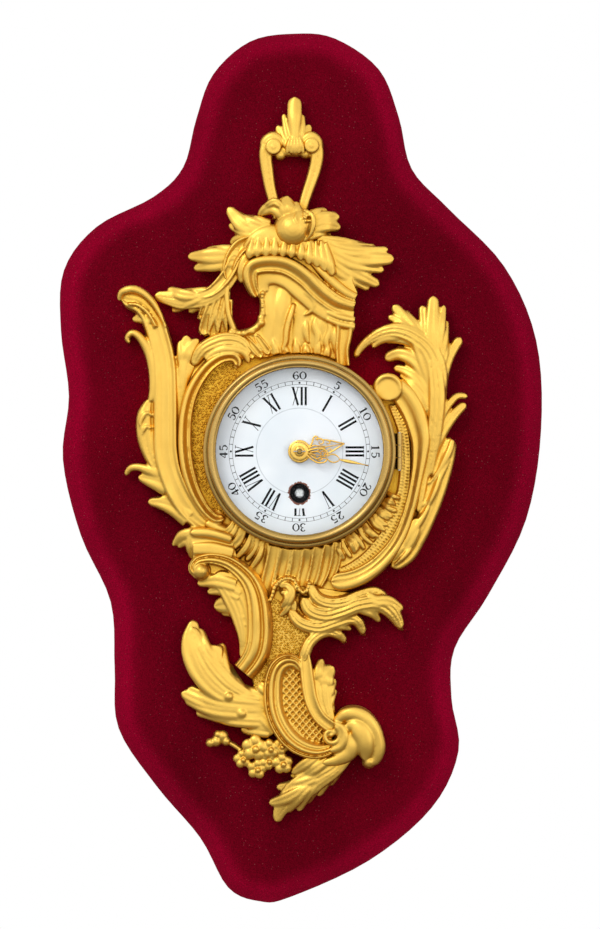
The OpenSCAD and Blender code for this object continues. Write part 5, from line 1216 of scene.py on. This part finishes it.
# %% Console leaves
bm = bmesh.new()
RIBBONS = [([(4.8, -66.2), (8.6, -73), (15, -75.8), (22.8, -75), (30.2, -71.8), (37.8, -70),
             (43.6, -72.8)], [5, 6, 6.6, 6.6, 6.2, 5.6, 3.4]),
           ([(1.8, -72.8), (5.2, -79.2), (12.8, -81.8), (21.2, -79.8), (30.2, -76.4), (39.2, -75.8),
             (46.2, -80.2), (51, -88.2)], [6, 7.6, 8.2, 8.2, 8.4, 8.8, 7.8, 4.8]),
           ([(-4.8, -79), (0.2, -85.2), (9.2, -87.8), (17.8, -85.4), (25.2, -83.4), (29.4, -85.4),
             (32.2, -91)], [5, 6.8, 7.4, 7.4, 7, 6, 4]),
           ([(1.6, -105), (4.2, -96.8), (9.2, -91.4), (15.2, -89.8), (20.2, -92), (23, -95)],
            [6, 6, 6, 6, 5.4, 3.6])]
lay_rows(bm, RIBBONS, [11.6, 12.4, 12.2, 12, 11, 9.4, 7], RIBBED, 3.4, ends="ab", wall=2)
RIBBON_TIPS = [([(36, -75.4), (44, -74.8), (51.6, -79)], [7, 6.4, 3.8]),
               ([(30, -78), (36, -80.4), (40.2, -85)], [6, 5.6, 3]),
               ([(18, -87), (22, -87.4), (26, -89)], [4, 4, 2.4]),
               ([(34, -72), (39, -73.6), (43.4, -71.4)], [5, 4, 3])]
lay_rows(bm, RIBBON_TIPS, [10.8, 10, 7.4], LOBE, 1.8, wall=LOBE_WALL, ends="b")
plate(bm, [(2, -64), (10, -68), (24, -70), (32, -71), (44, -74), (40, -78), (30, -79), (20, -85),
           (8, -88), (-4, -82), (-3, -75)], 8.2, 4)
casting("console_leaves_gilt", bm, ["console_leaves"])

# %% [markdown]
# The console ends in a cartouche: a broad C-frame with nested ridges round a panel of lozenge diaper,
# and a leaf on its right shoulder. The diaper is two sets of thin ridges that cross, each cut at the
# panel's edge; a pattern in the finish would cast no shadows.

# %% Cartouche
FRAME_SECTION = [(-0.5, -1), (-0.46, -0.45), (-0.41, -0.12), (-0.36, -0.14), (-0.31, -0.45),
                 (-0.27, -0.5), (-0.22, -0.2), (-0.15, -0.02), (-0.07, 0), (0, -0.12), (0.06, -0.38),
                 (0.12, -0.44), (0.19, -0.34), (0.28, -0.4), (0.38, -0.62), (0.5, -1)]
bm = bmesh.new()
FRAME = [(0.8, -109.4), (-2.2, -105.4), (-6.8, -104.9), (-10.8, -108.2), (-12.8, -114.2), (-13.2, -121.8),
         (-12.4, -129.2), (-9.8, -136.2), (-5.2, -142.8), (0.8, -147.2), (7.8, -149.2), (14.2, -148.2),
         (18.6, -144.8), (18.2, -140)]
strip(bm, FRAME[::-1], [3.6, 5.6, 7.4, 8.8, 9.6, 10, 10, 10, 10, 10, 9.6, 9, 7.4, 4.6],
      [12.4, 13, 13.4, 13.4, 13.4, 13.2, 13, 12.4], FRAME_SECTION, 4.6, foot=FOOT, ends="ab")
strip(bm, [(2.6, -98), (3.2, -106), (4, -114), (5.8, -124), (10, -132.4), (17, -138)],
      [4, 6, 6.6, 6.6, 6.4, 6.4], [11.6, 12.4, 12.8, 12.8, 12.8, 13.2], COVE, 1.8, foot=FOOT, ends="a")
DIAPER = [(-10, -108), (0, -106), (3, -114), (5, -123), (13, -136), (15, -145), (1, -145), (-8, -134),
          (-11, -122)]
DIAPER_TOP, LOZENGE, DIAPER_REACH = 8.0, 3.3, 60
plate(bm, DIAPER, DIAPER_TOP, 7.6)
for slope in (-1, 1):
    along = Vector((0.66, 0.75 * slope))
    for k in range(-24, 24):
        start = Vector((k * LOZENGE, -125)) - along * DIAPER_REACH
        hits = [start + along * j for j in range(2 * DIAPER_REACH)]
        hits = [p for p in hits if inside(p.x, p.y, DIAPER)]
        if len(hits) > 2:
            strip(bm, [hits[0], hits[-1]], 1.2, DIAPER_TOP + 1.1, ROLL, 1.2)
strip(bm, [(17, -137), (12.4, -128), (10.8, -118), (11.6, -108)], [5, 9, 11, 9], [12.2, 11.8, 11.4, 9.6],
      VEINED, 1.8, foot=FOOT, ends="b")
CARTOUCHE_LOBES = [([(12.6, -122), (13.2, -112), (17.2, -107.4)], [8, 9, 7.4]),
                   ([(9.6, -118), (9.8, -109), (11.4, -103.4)], [6, 6, 3.8]),
                   ([(13.6, -126), (14.6, -119), (17.8, -113.4)], [6, 6.4, 4]),
                   ([(14.6, -130), (15, -124), (18.2, -118.6)], [6, 5.4, 3.4]),
                   ([(16, -134), (15.4, -129), (16.4, -124)], [5, 5, 3])]
lay_rows(bm, CARTOUCHE_LOBES, [8.8, 11, 10.6, 7.6], LOBE, 1.5, wall=LOBE_WALL, ends="ab")
casting("cartouche_gilt", bm, ["cartouche"], voxel=0.4, rounds=2)

# %% [markdown]
# A fat smooth volute head turns under beside the cartouche. It is built of four plump rolls that melt
# into each other round a small spiral; one ball would have no folds.

# %% Volute head
bm = bmesh.new()
EYE_X, EYE_Y = 15.8, -141.4
HEAD_ROLLS = [([(17, -135.6), (23.6, -130.8), (30.6, -131.6), (36.4, -137.6), (39.4, -145.6),
                (38.6, -152), (35.6, -156)], [4, 7, 8, 8, 7.2, 6.6, 5],
               [13, 14.6, 15.2, 15, 14.2, 13.4, 12]),
              ([(22.6, -136.6), (27.6, -136.8), (31.6, -141.6), (33, -148), (32.4, -154)],
               [6, 9.4, 10.6, 9, 6], [14, 16, 16.2, 15.4, 12.8]),
              ([(25, -140.6), (26.6, -145), (25, -150), (18.6, -153.6), (11, -155.4)],
               [6, 7.4, 7.6, 6, 4.4], [14, 15, 14, 12.6, 11.4]),
              ([(17, -135), (21.4, -137.6), (22.8, -142), (20.6, -147), (15, -149.2)],
               [3.4, 4.4, 5, 4.8, 4], [14, 14.8, 15, 14.4, 13])]
for route, widths, heights in HEAD_ROLLS:
    strip(bm, route, widths, heights, ROLL, 3.2, foot=FOOT, ends="ab")
coil = [(5 - 0.28 * k, 1.2 - 0.62 * k) for k in range(13)]
spiral = [(EYE_X + r * math.cos(turn), EYE_Y + r * math.sin(turn)) for r, turn in coil]
strip(bm, spiral, [3.4, 3, 2.6, 2.2], [14.4, 14, 13.6, 13.4], ROLL, 2, foot=FOOT, ends="ab")
boss(bm, EYE_X, EYE_Y, 1.5, 13.8, 6)
boss(bm, 34.6, -154.8, 3.6, 13, 0.4)
casting("volute_head_gilt", bm, ["volute_head"], rounds=4)

# %% [markdown]
# One acanthus leaf hangs from the volute and ends the clock below. It is the leaf maker's plain case: a
# midrib and eight tips, with two more lobes over its root.

# %% Bottom leaf
bm = bmesh.new()
leaf(bm, [(26, -148), (18, -157.4), (8, -164), (-1, -171.4), (-8, -179), (-12, -184.8)],
     [(-4.6, -161.6), (-11.6, -167.6), (-15.4, -175.6), (-6.6, -180.4), (-0.4, -179.8), (3.4, -176),
      (9.2, -172.2), (14.6, -167)], 5, 10.6, 5, 2)
for route in ([(10, -151), (4, -155), (-4, -160.6)], [(15, -153), (8, -158), (0, -163.6)]):
    strip(bm, route, [5, 6, 4], [11, 11.2, 8.4], LOBE, 1.8, ends="ab")
casting("bottom_leaf_gilt", bm, ["bottom_leaf"])

# %% [markdown]
# A spray of two broad leaves leans out to the left. The upper one is a leaf with a wide veined blade
# over it, the lower one a fan of long lobes that lie in layers.

# %% Leaf spray
bm = bmesh.new()
leaf(bm, [(-22, -124), (-30, -121), (-38.4, -112.4), (-46, -103), (-51.4, -93.6), (-53.4, -84.2)],
     [(-49.4, -88.4), (-46, -97), (-38.5, -95.6), (-39, -102.6), (-36.4, -105.2), (-32.4, -115.6)], 5.4,
     9.4, 5, 2.2, 0.9)
strip(bm, [(-28, -126), (-40, -121.4), (-49, -113.4), (-54.6, -103.4), (-56, -93), (-53.6, -84.6)],
      [5, 7.4, 8.4, 8, 6.4, 3], [9.4, 9.8, 9.4, 8.6, 7.4, 5.6], LOBE, 2, wall=LOBE_WALL, ends="b")
strip(bm, [(-24, -124.6), (-36, -118.4), (-45, -109.4), (-51, -98.4), (-53.6, -88)], [9, 13, 15, 12, 6],
      [9.2, 9.8, 9.4, 8.4, 6.4], VEINED, 1.7, wall=LOBE_WALL, ends="b")
for x, y, r in [(-35.2, -122.2, 2.6), (-28.8, -130.6, 2.8)]:
    boss(bm, x, y, r, 11.2, 6)
SPRAY_LOBES = [([(-20, -125), (-36, -122.4), (-48.8, -116.4)], [6, 7, 5]),
               ([(-19, -127), (-41, -124.6), (-55.8, -118.4)], [6, 7.4, 5]),
               ([(-18, -129), (-43, -126.8), (-59, -120.4)], [7, 7.4, 5]),
               ([(-18, -131), (-42, -129.4), (-57.2, -123.8)], [7, 7, 4]),
               ([(-18, -133), (-38, -132.2), (-51.8, -130.4)], [7, 7, 3.6]),
               ([(-18, -135.4), (-34, -134.4), (-44.4, -133)], [6, 5.6, 3.2]),
               ([(-15, -140), (-22, -139), (-29.4, -138.6)], [6, 6.4, 4]),
               ([(-14, -122), (-19, -117), (-23.4, -114)], [5, 5.6, 3.4]),
               ([(-13, -130), (-22, -122), (-31, -118)], [6, 7, 5]),
               ([(-12, -140), (-20, -131), (-27, -127)], [6, 6.4, 4])]
for i, (route, widths) in enumerate(SPRAY_LOBES):
    lift = 0.5 * (i % 2)
    strip(bm, route, [1.15 * w for w in widths], [9.6, 9.6 + lift, 8.4 + lift, 5.4], LOBE, 1.8,
          wall=LOBE_WALL, ends="b")
casting("left_leaf_spray_gilt", bm, ["left_leaf_spray"])

# %% [markdown]
# A twig of small roses lies below the spray. A rose is a heap of round petals about a button; the round
# ones at the twig's end are still buds. At this size a melted heap reads as a flower, and single petals
# would be too thin.

# %% Flowers
bm = bmesh.new()
strip(bm, [(-45, -144.6), (-39, -144), (-34, -146), (-26, -150), (-14, -148)], 2.4, [7, 7.4, 7.6, 8, 8],
      ROLL, 2, foot=1.5)
for x, y, r in [(-44.4, -145.4, 2.4), (-41.6, -144.6, 2.8), (-38.4, -142, 3), (-36.6, -144.6, 2.4),
                (-40.6, -141.2, 2.2)]:
    boss(bm, x, y, r, 9, 3)
ROSES = [(-22.4, -147.8, 6.4, 10.4), (-28.4, -153.4, 4.6, 9), (-21.2, -158.4, 5, 9.4),
         (-8.4, -155.6, 5.2, 10), (-14.6, -148.2, 4.8, 10.8), (-9, -147, 4.2, 10.4),
         (-15.4, -154.4, 4.4, 9.8)]
PETAL_COUNT = 5
for x, y, r, high in ROSES:
    boss(bm, x, y, r * 0.7, high - 0.6, 1.5)
    for k in range(PETAL_COUNT):
        turn = math.tau * k / PETAL_COUNT + x
        boss(bm, x + 0.56 * r * math.cos(turn), y + 0.56 * r * math.sin(turn), r * 0.5,
             high + 0.3 * (k % 2), high - 4)
    boss(bm, x + 0.1 * r, y - 0.1 * r, r * 0.28, high + 1.4, high - 2)
casting("flower_spray_gilt", bm, ["flower_spray"], voxel=0.4, rounds=1)

# %% [markdown]
# The bezel is a turned brass ring on a hinge, so it is turned here too: its section is drawn once and
# spun about the dial's axis. The knuckle at the right stays with it when it opens.

# %% Bezel
def turned(bm, section, sides):
    """Spins a section of (radius, depth) points a full turn about the dial's axis."""
    verts = [bm.verts.new(stand(r, 0, depth)) for r, depth in section]
    edges = [bm.edges.new(pair) for pair in zip(verts, verts[1:])]
    bmesh.ops.spin(bm, geom=verts + edges, cent=(0, 0, 0), axis=(0, 1, 0), dvec=(0, 0, 0), angle=math.tau,
                   steps=sides, use_merge=True, use_duplicate=False)
    bmesh.ops.remove_doubles(bm, verts=bm.verts[:], dist=1e-7)
    bmesh.ops.recalc_face_normals(bm, faces=bm.faces[:])


BEZEL_SECTION = [(44, 37), (47.4, 37), (47.9, 37.5), (48, 38.5), (48, 40.2), (47.8, 41.3), (47.2, 42),
                 (46.6, 42.2), (46.1, 42.1), (45.8, 42.4), (45.7, 43), (45.6, 44.2), (45.2, 45.2),
                 (44.6, 45.8), (43.9, 46), (43.2, 45.8), (42.7, 45.4), (42.4, 45.2), (42, 45.3),
                 (41.7, 45.1), (41.5, 44.6), (41.5, 44.2), (44, 44.2), (44, 37)]
bm = bmesh.new()
turned(bm, BEZEL_SECTION, 160)
HINGE_X, HINGE_DEPTH, KNUCKLE_R = 49.5, 38.5, 1.6
KNUCKLE_L, HINGE_LEAF, LEAF_PLACE = 6.0, (2.6, 1.5), (48, 0, 37.75)
knuckle = bmesh.ops.create_cone(bm, cap_ends=True, segments=28, radius1=KNUCKLE_R * MM,
                                radius2=KNUCKLE_R * MM, depth=KNUCKLE_L * MM)["verts"]
bmesh.ops.translate(bm, verts=knuckle, vec=stand(HINGE_X, 0, HINGE_DEPTH))
hinge_leaf = bmesh.ops.create_cube(bm, size=1)["verts"]
bmesh.ops.scale(bm, verts=hinge_leaf, vec=(HINGE_LEAF[0] * MM, HINGE_LEAF[1] * MM, KNUCKLE_L * MM))
bmesh.ops.translate(bm, verts=hinge_leaf, vec=stand(*LEAF_PLACE))
show("bezel_turned", bm, bezel_brass, "bezel", ["bezel_ring"], 35)

# %% [markdown]
# The glass is a shallow dome, cut from a large blown ball, so the ball's radius and the dome's top give
# its section. The section is closed at the rim and spun like the bezel's.

# %% Glass
bm = bmesh.new()
DOME_R, DOME_TOP, PANE_T = 284.4, 47.2, 2.0
PANE_RADII = (0.001, 6, 12, 18, 24, 30, 36, 41.2)
PANE_RIM = [(43.6, 44.1), (43.6, 42.2)]
outer = [(r, DOME_TOP - DOME_R + math.sqrt(DOME_R ** 2 - r * r)) for r in PANE_RADII]
inner = [(r, depth - PANE_T) for r, depth in reversed(outer)]
turned(bm, outer + PANE_RIM + inner, 96)
show("glass_domed", bm, clear, "bezel", ["glass"], 30)

# %% [markdown]
# Behind the ornament is the case itself: a drum with a ledge inside for the movement's front plate and a
# slot for the bezel's catch, on a flat matted ground that the scrolls edge. The drum is turned like the
# bezel. The ground is a ring with a different reach at every angle, so a strip of grid is bent round the
# drum and thickened.

# %% Case drum and ground
DRUM_SECTION = [(40.3, 19), (40.3, 26.6), (43.3, 26.6), (43.3, 36.7), (47.2, 36.7), (47.2, 19), (40.3, 19)]
DRUM_SIDES = 96
# The ground's reach from the dial's axis, every 15 degrees from three o'clock
GROUND_REACH = [61, 59.6, 58, 47.4, 47.2, 51, 53, 52, 56, 61.5, 61, 60, 59, 57.6, 57, 53, 57, 60, 62, 65,
                65.4, 64, 61.5, 60.5]
GROUND_TOP, GROUND_THICKNESS = 26.0, 6.8
GROUND_INNER = 45
SLOT_FLOOR, SLOT_HALF = 34.0, 3.4
bm = bmesh.new()
for v in bmesh.ops.create_grid(bm, x_segments=DRUM_SIDES, y_segments=1, size=0.5)["verts"]:
    turn = v.co.x + 0.5
    reach = read(GROUND_REACH + GROUND_REACH[:1], turn) if v.co.y > 0 else GROUND_INNER
    v.co = stand(*from_dial(360 * turn, reach), GROUND_TOP)
bmesh.ops.remove_doubles(bm, verts=bm.verts[:], dist=1e-6)
bm.normal_update()
if sum(f.normal.y for f in bm.faces) > 0:
    bmesh.ops.reverse_faces(bm, faces=bm.faces[:])
bmesh.ops.solidify(bm, geom=bm.faces[:], thickness=GROUND_THICKNESS * MM)
turned(bm, DRUM_SECTION, DRUM_SIDES)
for v in bm.verts:
    if v.co.x < 0 and abs(v.co.z) < SLOT_HALF * MM:
        v.co.y = max(v.co.y, stand(0, 0, SLOT_FLOOR).y)
show("case_drum_gilt", bm, matt_gilt, "case", ["case_body"], 30)

# %% [markdown]
# The dial carries two rings of figures, all with their feet to the middle. A dial painter draws each
# figure with a flat brush: thick down-strokes and hair-thin up-strokes. A font would be quicker, but
# has the wrong strokes, so the figures are flat ribbons whose width swells and thins, a film of paint
# on the enamel.

# %% Hour figures
DIAL_TOP = 36.0
PAINT_T = 0.06
LINE_TOP = DIAL_TOP + 0.05
RIBBON = [(-0.5, 0), (0, 0), (0.5, 0)]


def brush(bm, route, widths, minute, r):
    """Painted stroke of a figure that stands with its foot at radius r, on the ray of a minute."""
    turn = math.tau * minute / 60
    placed = [(x * math.cos(turn) + (y + r) * math.sin(turn), (y + r) * math.cos(turn) - x * math.sin(turn))
              for x, y in route]
    strip(bm, placed, widths, LEAST, RIBBON, 0, PAINT_T, ground=DIAL_TOP + PAINT_T - LEAST)


FIGURE_H, FOOT_R = 9.0, 22.9
THICK, THIN, SERIF, SIDE = 1.08, 0.3, 0.3, 0.8
ADVANCE = {"I": 2.0, "V": 4.0, "X": 4.2}
HOURS = ["XII", "I", "II", "III", "IIII", "V", "VI", "VII", "VIII", "IX", "X", "XI"]
WORN_HOUR, WORN_FOOT = 6, 5.4
bm = bmesh.new()
for hour, figure in enumerate(HOURS):
    x = -sum(ADVANCE[letter] for letter in figure) / 2
    foot = WORN_FOOT if hour == WORN_HOUR else 0
    for letter in figure:
        wide = ADVANCE[letter]
        left, right, mid = x + SIDE, x + wide - SIDE, x + wide / 2
        if letter == "I":
            marks = [(mid, mid, THICK)]
        elif letter == "V":
            marks = [(mid, left, THICK), (mid + 0.3, right, THIN)]
        else:
            marks = [(right, left, THICK), (left, right, THIN)]
        for low_x, high_x, width in marks:
            start = low_x + (high_x - low_x) * foot / FIGURE_H
            brush(bm, [(start, foot), (high_x, FIGURE_H)], width, hour * 5, FOOT_R)
            brush(bm, [(high_x - SIDE, FIGURE_H), (high_x + SIDE, FIGURE_H)], SERIF, hour * 5, FOOT_R)
        x += wide
show("hour_figures", bm, paint, "case")

# %% [markdown]
# Between the rings runs the minute track: two thin lines with a stroke at each minute and, at every
# fifth, a dot instead. The lines are turned; the strokes and dots are brush marks.

# %% Minute track
bm = bmesh.new()
TRACK_IN, TRACK_OUT, LINE, DOT_R = 33.2, 35.0, 0.16, 0.5
for r in (TRACK_IN, TRACK_OUT):
    turned(bm, [(r, DIAL_TOP), (r, LINE_TOP), (r + LINE, LINE_TOP), (r + LINE, DIAL_TOP)], 180)
for minute in range(60):
    if minute % 5:
        brush(bm, [(0, 0), (0, TRACK_OUT - TRACK_IN)], LEAST, minute, TRACK_IN)
    else:
        brush(bm, [(-DOT_R, 0), (0, 0), (DOT_R, 0)], [DOT_R, 2 * DOT_R, DOT_R], minute,
              (TRACK_IN + TRACK_OUT) / 2)
show("minute_track", bm, paint, "case")

# %% [markdown]
# The minute figures stand outside the track. Each digit is a few strokes in a box one unit high, so one
# table serves all twelve numbers.

# %% Minute figures
# Strokes of the minute figures in a box one unit high, as routes with their widths
DIGITS = {"0": [([(0, 1), (-0.32, 0.75), (-0.37, 0.5), (-0.32, 0.25), (0, 0), (0.32, 0.25), (0.37, 0.5),
                  (0.32, 0.75), (0, 1)], [0.07, 0.15, 0.22, 0.15, 0.07, 0.15, 0.22, 0.15, 0.07])],
          "1": [([(0, 1), (0, 0)], [0.22, 0.22]),
                ([(-0.24, 0.8), (0, 0.98)], [0.08, 0.1]),
                ([(-0.24, 0), (0.24, 0)], [0.08, 0.08])],
          "2": [([(-0.28, 0.72), (-0.2, 0.93), (0.05, 1), (0.28, 0.8), (0.2, 0.52), (-0.06, 0.27),
                  (-0.3, 0.05)], [0.16, 0.12, 0.08, 0.2, 0.2, 0.1, 0.08]),
                ([(-0.3, 0.05), (0, 0.1), (0.34, 0.05)], [0.1, 0.2, 0.14])],
          "3": [([(-0.26, 0.85), (0, 1), (0.25, 0.8), (0.14, 0.6), (-0.06, 0.54)],
                 [0.16, 0.08, 0.2, 0.12, 0.06]),
                ([(-0.06, 0.55), (0.18, 0.48), (0.3, 0.26), (0.04, 0), (-0.28, 0.14)],
                 [0.06, 0.12, 0.22, 0.08, 0.17])],
          "4": [([(0.1, 1), (-0.36, 0.32)], [0.08, 0.1]),
                ([(-0.38, 0.3), (0.36, 0.3)], [0.1, 0.1]),
                ([(0.12, 1), (0.12, 0)], [0.22, 0.22])],
          "5": [([(-0.2, 1), (-0.25, 0.56)], [0.1, 0.08]),
                ([(-0.2, 0.95), (0.28, 0.95)], [0.17, 0.14]),
                ([(-0.25, 0.56), (0.05, 0.64), (0.3, 0.36), (0.04, 0), (-0.28, 0.14)],
                 [0.08, 0.1, 0.22, 0.08, 0.17])],
          "6": [([(0.24, 0.88), (0, 0.98), (-0.26, 0.72), (-0.33, 0.36), (-0.1, 0.02)],
                 [0.15, 0.08, 0.17, 0.22, 0.1]),
                ([(-0.1, 0.02), (0.14, 0.04), (0.3, 0.3), (0.1, 0.56), (-0.24, 0.44)],
                 [0.1, 0.1, 0.21, 0.09, 0.06])]}
MINUTE_H, MINUTE_FOOT, MINUTE_STEP = 3.9, 35.8, 3.5
bm = bmesh.new()
for minute in range(5, 65, 5):
    shift = -MINUTE_STEP * (len(str(minute)) - 1) / 2
    for digit in str(minute):
        for route, widths in DIGITS[digit]:
            brush(bm, [(shift + x * MINUTE_H, y * MINUTE_H) for x, y in route],
                  [w * MINUTE_H for w in widths], minute, MINUTE_FOOT)
        shift += MINUTE_STEP
show("minute_figures", bm, paint, "case")

# %% [markdown]
# The middle of the dial is sunk behind a fine line, and the key hole's edge is chipped where keys have
# slipped. The chip is a ring with an uneven outer edge, drawn by a seeded shuffle so that it is the same
# each time. Behind the hole lies a ring of black paint with the winding square in its middle, a painted
# shade so that one seems to look into the dark movement.

# %% Sunk middle and key hole
line_finish, tree, shader = new_finish("grey_line", Roughness=0.3)
tint(tree, shader, noise(tree, 300), [(0.3, (0.30, 0.33, 0.38)), (0.7, (0.45, 0.48, 0.53))])
bm = bmesh.new()
KEY_DROP, KEY_R, SQUARE_R = -20.75, 5.0, 2.35
CHIP_WIDTH = 0.6
turned(bm, [(21.4, DIAL_TOP), (21.45, LINE_TOP), (21.6, LINE_TOP), (21.65, DIAL_TOP)], 140)
hole = stand(0, KEY_DROP, DIAL_TOP)
at_hole = [f for f in bm.faces if (f.calc_center_median() - hole).length < (KEY_R + CHIP_WIDTH) * MM]
bmesh.ops.delete(bm, geom=at_hole, context="FACES")
show("sunk_middle_line", bm, line_finish, "case")

shuffle = random.Random(3)
RING_WALL = 0.03


def key_ring(bm, loops, sides, rough=0.0):
    """Bridged rings round the key hole's axis; the last one may have an uneven edge."""
    edges = []
    for k, (r, depth) in enumerate(loops):
        made = bmesh.ops.create_circle(bm, segments=sides, radius=1)["verts"]
        for i, v in enumerate(made):
            reach = r + (shuffle.uniform(-rough, rough) if k == len(loops) - 1 else 0)
            turn = math.tau * i / sides
            v.co = stand(reach * math.cos(turn), KEY_DROP + reach * math.sin(turn), depth)
        edges.append(list({e for v in made for e in v.link_edges}))
    for outer, inner in zip(edges, edges[1:]):
        bmesh.ops.bridge_loops(bm, edges=outer + inner)
    bmesh.ops.recalc_face_normals(bm, faces=bm.faces[:])
    bm.normal_update()
    if sum(f.normal.y * f.calc_area() for f in bm.faces) > 0:
        bmesh.ops.reverse_faces(bm, faces=bm.faces[:])
    bmesh.ops.solidify(bm, geom=bm.faces[:], thickness=RING_WALL * MM)


bm = bmesh.new()
key_ring(bm, [(KEY_R - 0.1, 35.2), (KEY_R - 0.05, 36.03), (KEY_R + CHIP_WIDTH, LINE_TOP)], 72, 0.5)
show("key_hole_chip", bm, chipped, "case")
bm = bmesh.new()
# Painted shade: a ring of black paint behind the hole stands for the dark inside of the movement.
key_ring(bm, [(SQUARE_R, 34.75), (KEY_R - 0.2, 34.75), (KEY_R - 0.15, 35.15)], 72)
show("key_hole_washer", bm, paint, "case")

# %% [markdown]
# The hands are pierced and chased gilt brass: a round hub, scrolls that part and meet again, and a
# point. A flat cut-out would do from afar, but the real ones are rounded by chasing, so each scroll is
# a small swept strip, drawn once and mirrored.

# %% Hour hand
def turned_point(x, y, degrees):
    """A point turned about the dial's axis."""
    c, s = math.cos(math.radians(degrees)), math.sin(math.radians(degrees))
    return (x * c - y * s, x * s + y * c)


HAND_T, HAND_RELIEF, HAND_WALL = 1.0, 0.5, 0.45


def hand(bm, scrolls, stems, degrees, depth, hub):
    """Hand along its own line: scrolls are mirrored about it, stems run along it."""
    for side in (1, -1):
        for route, width in scrolls:
            placed = [turned_point(x, y * side, degrees) for x, y in route]
            strip(bm, placed, width, HAND_T, ROLL, HAND_RELIEF, HAND_WALL, ground=depth)
    for route, width in stems:
        placed = [turned_point(x, 0, degrees) for x in route]
        strip(bm, placed, width, HAND_T, ROLL, HAND_RELIEF, HAND_WALL, ground=depth)
    turned(bm, [(r, depth + h) for r, h in hub], 48)


HOUR_SCROLLS = [([(4.8, 1.2), (6.8, 3.0), (7.8, 5.2), (9.2, 6.2), (10.4, 4.8), (9.4, 3.8)],
                 [1, 1, 1, 0.9, 0.8, 0.5]),
                ([(8.6, 4.6), (11, 4.6), (12.6, 3.2), (11.8, 1.8), (10.2, 2.2), (10.6, 3.2)],
                 [0.7, 0.9, 0.9, 0.8, 0.7, 0.4]),
                ([(12.2, 3.6), (14.4, 3.3), (15.8, 2.0), (14.8, 1.1), (13.8, 1.8)],
                 [0.7, 0.8, 0.8, 0.7, 0.4]),
                ([(13.4, 3.6), (16.6, 2.5), (19.8, 1.1), (22.4, 0.2)], [0.7, 0.8, 0.8, 0.5]),
                ([(4.6, 0.7), (7.4, 1.7), (9.8, 1.0), (13, 0.4)], [0.9, 0.8, 0.7, 0.5])]
HOUR_STEMS = [([4.6, 10, 16, 22.8], [0.8, 0.6, 0.6, 0.3])]
HUB = [(2.62, 0), (5.4, 0), (5.7, 0.3), (5.7, 0.6), (5.3, 0.9), (4.6, 0.95), (4.2, 0.75), (3.6, 0.8),
       (3.2, 1.0), (2.62, 1.0), (2.62, 0)]
bm = bmesh.new()
hand(bm, HOUR_SCROLLS, HOUR_STEMS, 9.8, 37.2, HUB)
show("hour_hand_gilt", bm, hand_gilt, "hour_hand", ["hour_hand"], 45)

# %% [markdown]
# The minute hand is slimmer and passes in front of the hour hand, at the depth of the solid that it
# stands for. A collet holds it, and the dark end of the arbor shows in the collet's middle.

# %% Minute hand and collet
MINUTE_SCROLLS = [([(3.8, 0.9), (6.6, 2.6), (9.8, 3.6), (12.8, 3.0), (14.2, 1.4), (12.8, 0.8),
                    (11.6, 1.7)], [1, 1, 1, 1, 0.9, 0.7, 0.5]),
                  ([(5.4, 0.6), (7.8, 1.7), (9.8, 1.5), (11, 0.5)], [0.8, 0.8, 0.8, 0.5]),
                  ([(14.0, 0.5), (15.8, 1.8), (18.2, 1.8), (20.2, 0.5)], [0.6, 0.75, 0.75, 0.5])]
MINUTE_STEMS = [([4, 8, 12, 14.2], [0.8, 0.6, 0.6, 0.6]),
                ([19.8, 21.4, 23.4, 28, 34.8], [0.6, 1.7, 1.5, 0.8, 0.3])]
MINUTE_HUB = [(1.62, 0), (4.2, 0), (4.5, 0.3), (4.4, 0.7), (3.9, 0.95), (3.2, 0.9), (2.8, 1.0),
              (1.62, 1.0), (1.62, 0)]
bm = bmesh.new()
hand(bm, MINUTE_SCROLLS, MINUTE_STEMS, -11.6, 39.4, MINUTE_HUB)
show("minute_hand_gilt", bm, hand_gilt, "minute_hand", ["minute_hand"], 45)
COLLET_SECTION = [(1.06, 40.4), (2.3, 40.4), (2.5, 40.6), (2.45, 41.0), (2.1, 41.4), (1.6, 41.6),
                  (1.06, 41.6), (1.06, 40.4)]
bm = bmesh.new()
turned(bm, COLLET_SECTION, 40)
show("hand_collet_gilt", bm, hand_gilt, "minute_hand", ["hand_collet"], 45)
ARBOR_SECTION = [(0.05, 41.85), (0.7, 41.84), (1.2, 41.75), (1.45, 41.6)]
bm = bmesh.new()
turned(bm, ARBOR_SECTION, 32)
show("arbor_end_steel", bm, dark_steel, "minute_hand", (), 45)

# %% [markdown]
# What is left are the solids whose shape is already right: the board, the dial, the hinge and the whole
# movement behind the dial. They keep their meshes and get the finishes made above.

# %% Finishes of the solids that stay
BRASS_SOLIDS = ["glass_retaining_ring", "bezel_catch", "front_plate", "back_plate", "pillars", "barrel",
                "barrel_cap", "centre_wheel", "third_wheel", "fourth_wheel", "balance_wheel",
                "cannon_pinion", "minute_wheel", "hour_wheel"]
STEEL_SOLIDS = ["hanger_plate", "hanger_screws", "case_screws", "movement_screws", "hinge_pin", "taper_pin",
                "pillar_screws", "barrel_arbor", "mainspring", "ratchet_wheel", "click", "click_screw",
                "click_spring", "escape_wheel", "pallet_lever", "hairspring", "minute_wheel_stud"]
KEPT = [(bezel_brass, ["case_hinge"]), (enamel, ["enamel_dial"]), (board_wood, ["wood_board"]),
        (movement_brass, BRASS_SOLIDS), (steel, STEEL_SOLIDS)]
for finish, names in KEPT:
    for name in names:
        for slot in bpy.data.objects[name].material_slots:
            slot.material = finish
print("kept solids", sum(len(names) for _, names in KEPT))
